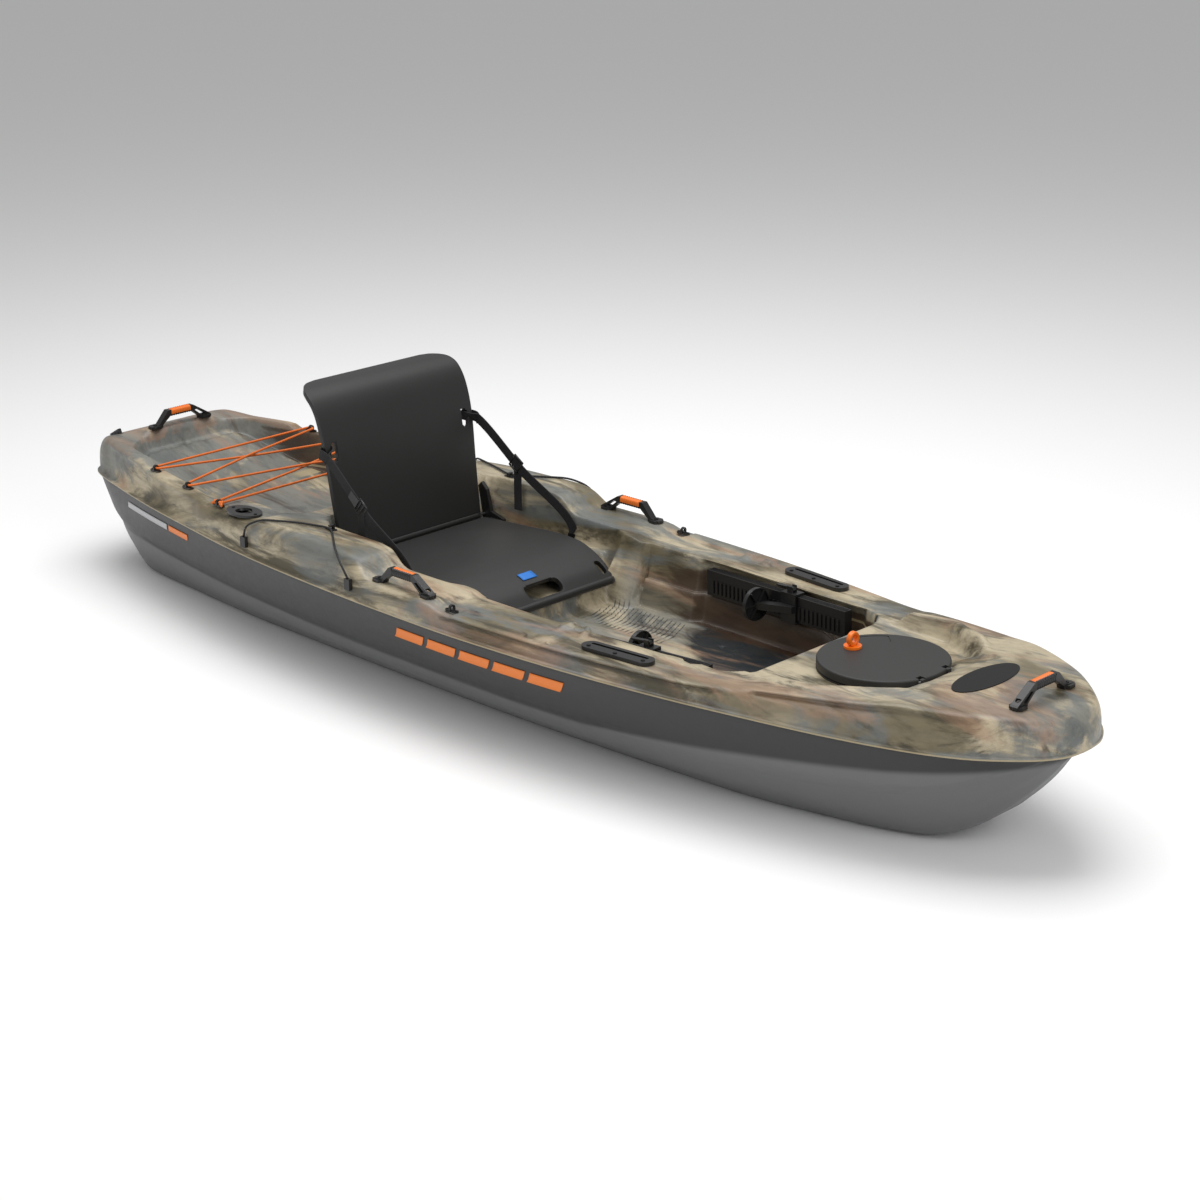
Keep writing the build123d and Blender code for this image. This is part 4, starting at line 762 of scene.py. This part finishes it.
pull = (BACK_END - ANCHOR) / np.linalg.norm(BACK_END - ANCHOR)
flat_side = np.cross(pull, (0, 1, 0))
flat_side /= np.linalg.norm(flat_side)
BUCKLE_AT = ANCHOR + (BACK_END - ANCHOR) * 0.55
for side, name in ((1, "port"), (-1, "starboard")):
    mirror = np.array((1, side, 1))
    low_end, high_end = ANCHOR + (0, 4, -10), np.array((-470, 218, 500.0))
    run = swept([low_end, ANCHOR, BUCKLE_AT, BACK_END, high_end, (-486, 210, 503)], 14) * mirror
    loop = swept([(-486, 210, 503), (-492, 222, 502), (-484, 240, 499), (-466, 243, 497),
                  BACK_END + (4, 1, -6)], 8) * mirror
    strap = joined(ribbon("strap_" + name + "_webbing", run, flat_side * mirror),
                   ribbon("strap_loop", loop, (0.3, 0, 1)))
    strap.data.materials.append(web.material)
    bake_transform(strap)
    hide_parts("strap_" + name)

buckle_parts, tail_parts = [], []
for side in (1, -1):
    mirror = np.array((1, side, 1))
    outward = np.array((0, 1, 0))
    for shift, long in ((-15, 34), (-5, 30), (6, 30), (15, 34)):
        bar_middle = BUCKLE_AT + pull * (17 + shift) + outward * (2 if abs(shift) < 10 else 0)
        ends = [bar_middle - flat_side * long / 2, bar_middle, bar_middle + flat_side * long / 2]
        buckle_parts.append(tube("buckle_bar", np.array(ends) * mirror, 2.2, 8))
    for edge in (-17, 17):
        rail = [BUCKLE_AT + pull * (17 + k) + flat_side * edge for k in (-16, 0, 16)]
        buckle_parts.append(tube("buckle_side", np.array(rail) * mirror, 2.6, 8))
    lug = BUCKLE_AT + pull * 30
    tongue = np.array([lug + outward * 3, lug + pull * 18 + outward * 2, lug + pull * 34 + outward * 2])
    buckle_parts.append(ribbon("buckle_web", tongue * mirror, flat_side * mirror, 22, 3))
    start = BUCKLE_AT + pull * 8 + outward * 1
    tail = swept([start, start + (-4, 1, -8), start + (-5, 1, -60), start + (-2, -2, -112)], 6)
    tail_parts.append(ribbon("tail", tail * mirror, (1, 0, 0.1)))
buckles = joined(*buckle_parts)
buckles.name = "strap_buckles_moulded"
tails = joined(*tail_parts)
tails.name = "strap_tails_webbing"
buckle_finish = Finish("buckle_nylon", (0.014, 0.014, 0.014), 0.35)
buckles.data.materials.append(buckle_finish.material)
tails.data.materials.append(web.material)
for piece, node, slot in ((buckles, "strap_buckles", "black_plastic"), (tails, "strap_tails", "webbing")):
    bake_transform(piece)
    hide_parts(node)

# ---------------------------------------------------------------- bungees
# Woven elastic cord: an orange lacing over the tank well, knotted at the foremost starboard eye, and a
# black cord along each gunwale from tab to hook to tab.
EYES, CORD_Z, PASS = ((-1123, 253), (-944, 288), (-773, 325)), 339, 9
orange = Finish("orange_bungee", (0.78, 0.16, 0.01), 0.55)
braid = weave(orange, 170.0, 1.5)
orange.feed("Base Color", orange.mix(braid, (0.85, 0.20, 0.015), (0.60, 0.10, 0.008)))
orange.relief(braid, 0.0008, 0.5)
black_cord = Finish("black_bungee", (0.012, 0.012, 0.012), 0.6)
black_cord.relief(weave(black_cord, 170.0, 1.5), 0.0008, 0.5)


def rounded_path(points, radius, steps=6):
    """Straight runs joined by arcs: each corner is replaced by a curve that starts and ends radius away."""
    points = np.array(points, float)
    path = [points[:1]]
    for before, here, after in zip(points, points[1:], points[2:]):
        r = min(radius, np.linalg.norm(here - before) * 0.49, np.linalg.norm(after - here) * 0.49)
        a = here + (before - here) / np.linalg.norm(before - here) * r
        b = here + (after - here) / np.linalg.norm(after - here) * r
        t = np.linspace(0, 1, steps)[:, None]
        path.append((1 - t) ** 2 * a + 2 * t * (1 - t) * here + t * t * b)
    return np.concatenate(path + [points[-1:]])


def through(x, y, forward):
    """The straight bit of cord in an eye at (x, y), led towards the bow or the stern."""
    step = PASS if forward else -PASS
    return [(x - step, y, CORD_Z), (x + step, y, CORD_Z)]


def halfway(a, b, lift):
    """A point midway between two eyes, lifted so that crossing cords clear each other."""
    return ((a[0] + b[0]) / 2, (a[1] + b[1]) / 2, CORD_Z + lift)


(x0, y0), (x1, y1), (x2, y2) = EYES
LACING = [(x2 + PASS, -y2, CORD_Z), *through(x2, y2, False), halfway((x2, y2), (x1, -y1), 4),
          *through(x1, -y1, False), halfway((x1, -y1), (x0, y0), 4), *through(x0, y0, False),
          *through(x0, -y0, True), halfway((x0, -y0), (x1, y1), -4), *through(x1, y1, True),
          halfway((x1, y1), (x2, -y2), -4),
          (x2 - PASS, -y2 + 3, CORD_Z)]
cord = tube("tank_lacing", rounded_path(LACING, 7), 3, 10)
turns = np.linspace(0, 2 * math.pi, 40, endpoint=False)
knots = []
for dx, tilt in ((10, 0.4), (-11, -0.5)):
    ring = np.stack([x2 + dx + 3.2 * np.cos(2 * turns) * np.cos(turns + tilt),
                     -y2 + 3.6 * np.sin(2 * turns), CORD_Z + 3.0 * np.sin(3 * turns)], -1)
    knots.append(tube("knot", ring, 3, 8, True))
    knots.append(tube("knot_end", [(x2 + dx, -y2, CORD_Z), (x2 + dx * 1.9, -y2 - 6, CORD_Z - 5)], 3, 10))
cord = joined(cord, *knots)
cord.data.materials.append(orange.material)
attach(cord, "kayak")
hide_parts("tank_bungee")

SIDE_ROUTE = [(-619, 373, 298), (-612, 371, 326), (-582, 350, 343), (-490, 318, 349), (-396, 288, 349),
              (-340, 330, 348), (-276, 378, 346), (-232, 401, 328), (-204, 404, 298)]
for side, name in ((1, "port"), (-1, "starboard")):
    route = np.array(SIDE_ROUTE, float) * (1, side, 1)
    piece = tube("side_cord_" + name, rounded_path(route, 30, 8), 2.5, 10)
    piece.data.materials.append(black_cord.material)
    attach(piece, "kayak")
    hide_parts("side_bungee_" + name)

# ---------------------------------------------------------------- handle grips
# Soft orange sleeves moulded over the carry handles, with ribs round them for the fingers.
GRIPS = {"bow": 1, "stern": 1, "port": 0, "starboard": 0}
grip_rubber = Finish("orange_grip_rubber", (0.80, 0.17, 0.01), 0.5)
grip_rubber.relief(grip_rubber.noise(600, grip_rubber.place(), 2), 0.0005, 0.3)
grip_body = Finish("grip_black_plastic", (0.012, 0.012, 0.012), 0.4)
for name, axis in GRIPS.items():
    low_box, high_box = (np.array(corner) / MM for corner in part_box("grip_" + name))
    middle = (low_box + high_box) / 2
    reach = (high_box - low_box)[axis] / 2
    along = np.linspace(-reach, reach, 97)
    swell = 1 + 0.075 * np.cos(along / reach * math.pi * 9) - 0.10 * ease(np.abs(along), reach - 2.5, reach)
    turn = np.linspace(0, 2 * math.pi, 28, endpoint=False)
    power = 0.62
    wide = 10.2 * np.sign(np.cos(turn)) * np.abs(np.cos(turn)) ** power
    tall = 9.3 * np.sign(np.sin(turn)) * np.abs(np.sin(turn)) ** power
    sleeve = np.zeros((97, 28, 3))
    sleeve[..., axis] = along[:, None]
    sleeve[..., 1 - axis] = swell[:, None] * wide[None]
    sleeve[..., 2] = swell[:, None] * tall[None]
    sleeve = np.concatenate([sleeve[:1] * 0 + sleeve[:1].mean(1, keepdims=True), sleeve,
                             sleeve[-1:] * 0 + sleeve[-1:].mean(1, keepdims=True)]) + middle
    piece = cleaned(surface("grip_sleeve_" + name, sleeve, closed=True))
    piece.data.materials.append(grip_rubber.material)
    piece.data.materials.append(grip_body.material)
    centres = np.empty(3 * len(piece.data.polygons))
    piece.data.polygons.foreach_get("center", centres)
    offset = centres.reshape(-1, 3) / MM - middle
    outboard = offset[:, 1 - axis] * np.sign(middle[1 - axis])
    plain = (outboard > 4) | (offset[:, 2] < -4)
    piece.data.polygons.foreach_set("material_index", plain.astype(np.int32))
    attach(piece, "kayak")
    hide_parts("grip_" + name)

# ---------------------------------------------------------------- side accents
# Plain printed bars on the hull's sides, where a maker would print a name. They are thin raised decals.
def decal(name, x_range, z_range, side, slant, finish):
    """Thin film on the hull's side: a bar between two stations and two heights, leaning by slant."""
    u, v = np.meshgrid(np.linspace(0, 1, 40), np.linspace(0, 1, 5), indexing="ij")
    z = z_range[0] + v * (z_range[1] - z_range[0])
    x = x_range[0] + u * (x_range[1] - x_range[0]) + slant * v
    seam_half = breadth(x) - 10
    chine_half, chine_height = faired(CHINE, x), faired(CHINE, x, 2)
    share = (SEAM_Z / MM - 10 - z) / (SEAM_Z / MM - 10 - (SEAM_Z / MM * 0.62 + chine_height * 0.38))
    second = seam_half * 0.62 + chine_half * 0.38 + 7
    y = np.where(share < 1, seam_half + (second - seam_half) * share, second) + 1.2
    sheet = cleaned(surface(name, np.stack([x, side * y, z], -1)))
    thickened(sheet, 0.0006, 0)
    sheet.data.materials.append(finish.material)
    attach(sheet, "kayak")


accent_orange = Finish("accent_orange", (0.80, 0.20, 0.02), 0.4)
accent_silver = Finish("accent_silver", (0.45, 0.45, 0.46), 0.4)
for side in (1, -1):
    tag = "port" if side > 0 else "starboard"
    for k, (start, stop) in enumerate(((-70, 20), (34, 124), (138, 228), (242, 332), (346, 440))):
        decal(f"accent_{tag}_{k}", (start, stop), (190, 216), side, 16, accent_orange)
    decal(f"stern_accent_{tag}_long", (-1270, -1040), (202, 220), side, 8, accent_silver)
    decal(f"stern_accent_{tag}_short", (-1030, -930), (202, 220), side, 8, accent_orange)

# ---------------------------------------------------------------- plain finishes of the fittings
# Injection-moulded black fittings, stainless fasteners, foam and rubber keep their CAD shape.
black = Finish("fitting_black_plastic", (0.012, 0.012, 0.012), 0.36)
black.relief(black.noise(700, black.place(), 2), 0.0004, 0.3)
rail_black = Finish("rail_black_plastic", (0.008, 0.007, 0.007), 0.45)
steel = Finish("stainless_fasteners", (0.30, 0.30, 0.31), 0.35, Metallic=1.0)
foam = Finish("buoyancy_foam", (0.85, 0.85, 0.83), 0.9)
rubber = Finish("gasket_rubber", (0.02, 0.02, 0.02), 0.75)
lid_finish = Finish("lid_grained_plastic", (0.019, 0.019, 0.018), 0.55)
lid_finish.relief(lid_finish.noise(520, lid_finish.place(), 3), 0.0006, 0.4)
knob_finish = Finish("knob_orange_plastic", (0.86, 0.17, 0.008), 0.32)
plaque_finish = Finish("plaque_gloss_black", (0.004, 0.004, 0.004), 0.3, Specular_IOR_Level=0.25)
dark_screw = Finish("blackened_screws", (0.03, 0.03, 0.03), 0.4, Metallic=1.0)
SPECIAL = {"foam_blocks": foam, "hatch_gasket": rubber, "hatch_lid": lid_finish, "hatch_rim": lid_finish,
           "hatch_knob": knob_finish, "plaque": plaque_finish,
           "foot_rail_port": rail_black, "foot_rail_starboard": rail_black, "gear_track_screws": dark_screw,
           "pad_eye_screws": dark_screw, "rod_holder_screws": dark_screw, "handle_screws": dark_screw}
for node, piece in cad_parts.items():
    plain = steel if "screws" in node or "pins" in node else black
    piece.data.materials.clear()
    piece.data.materials.append(SPECIAL.get(node, plain).material)
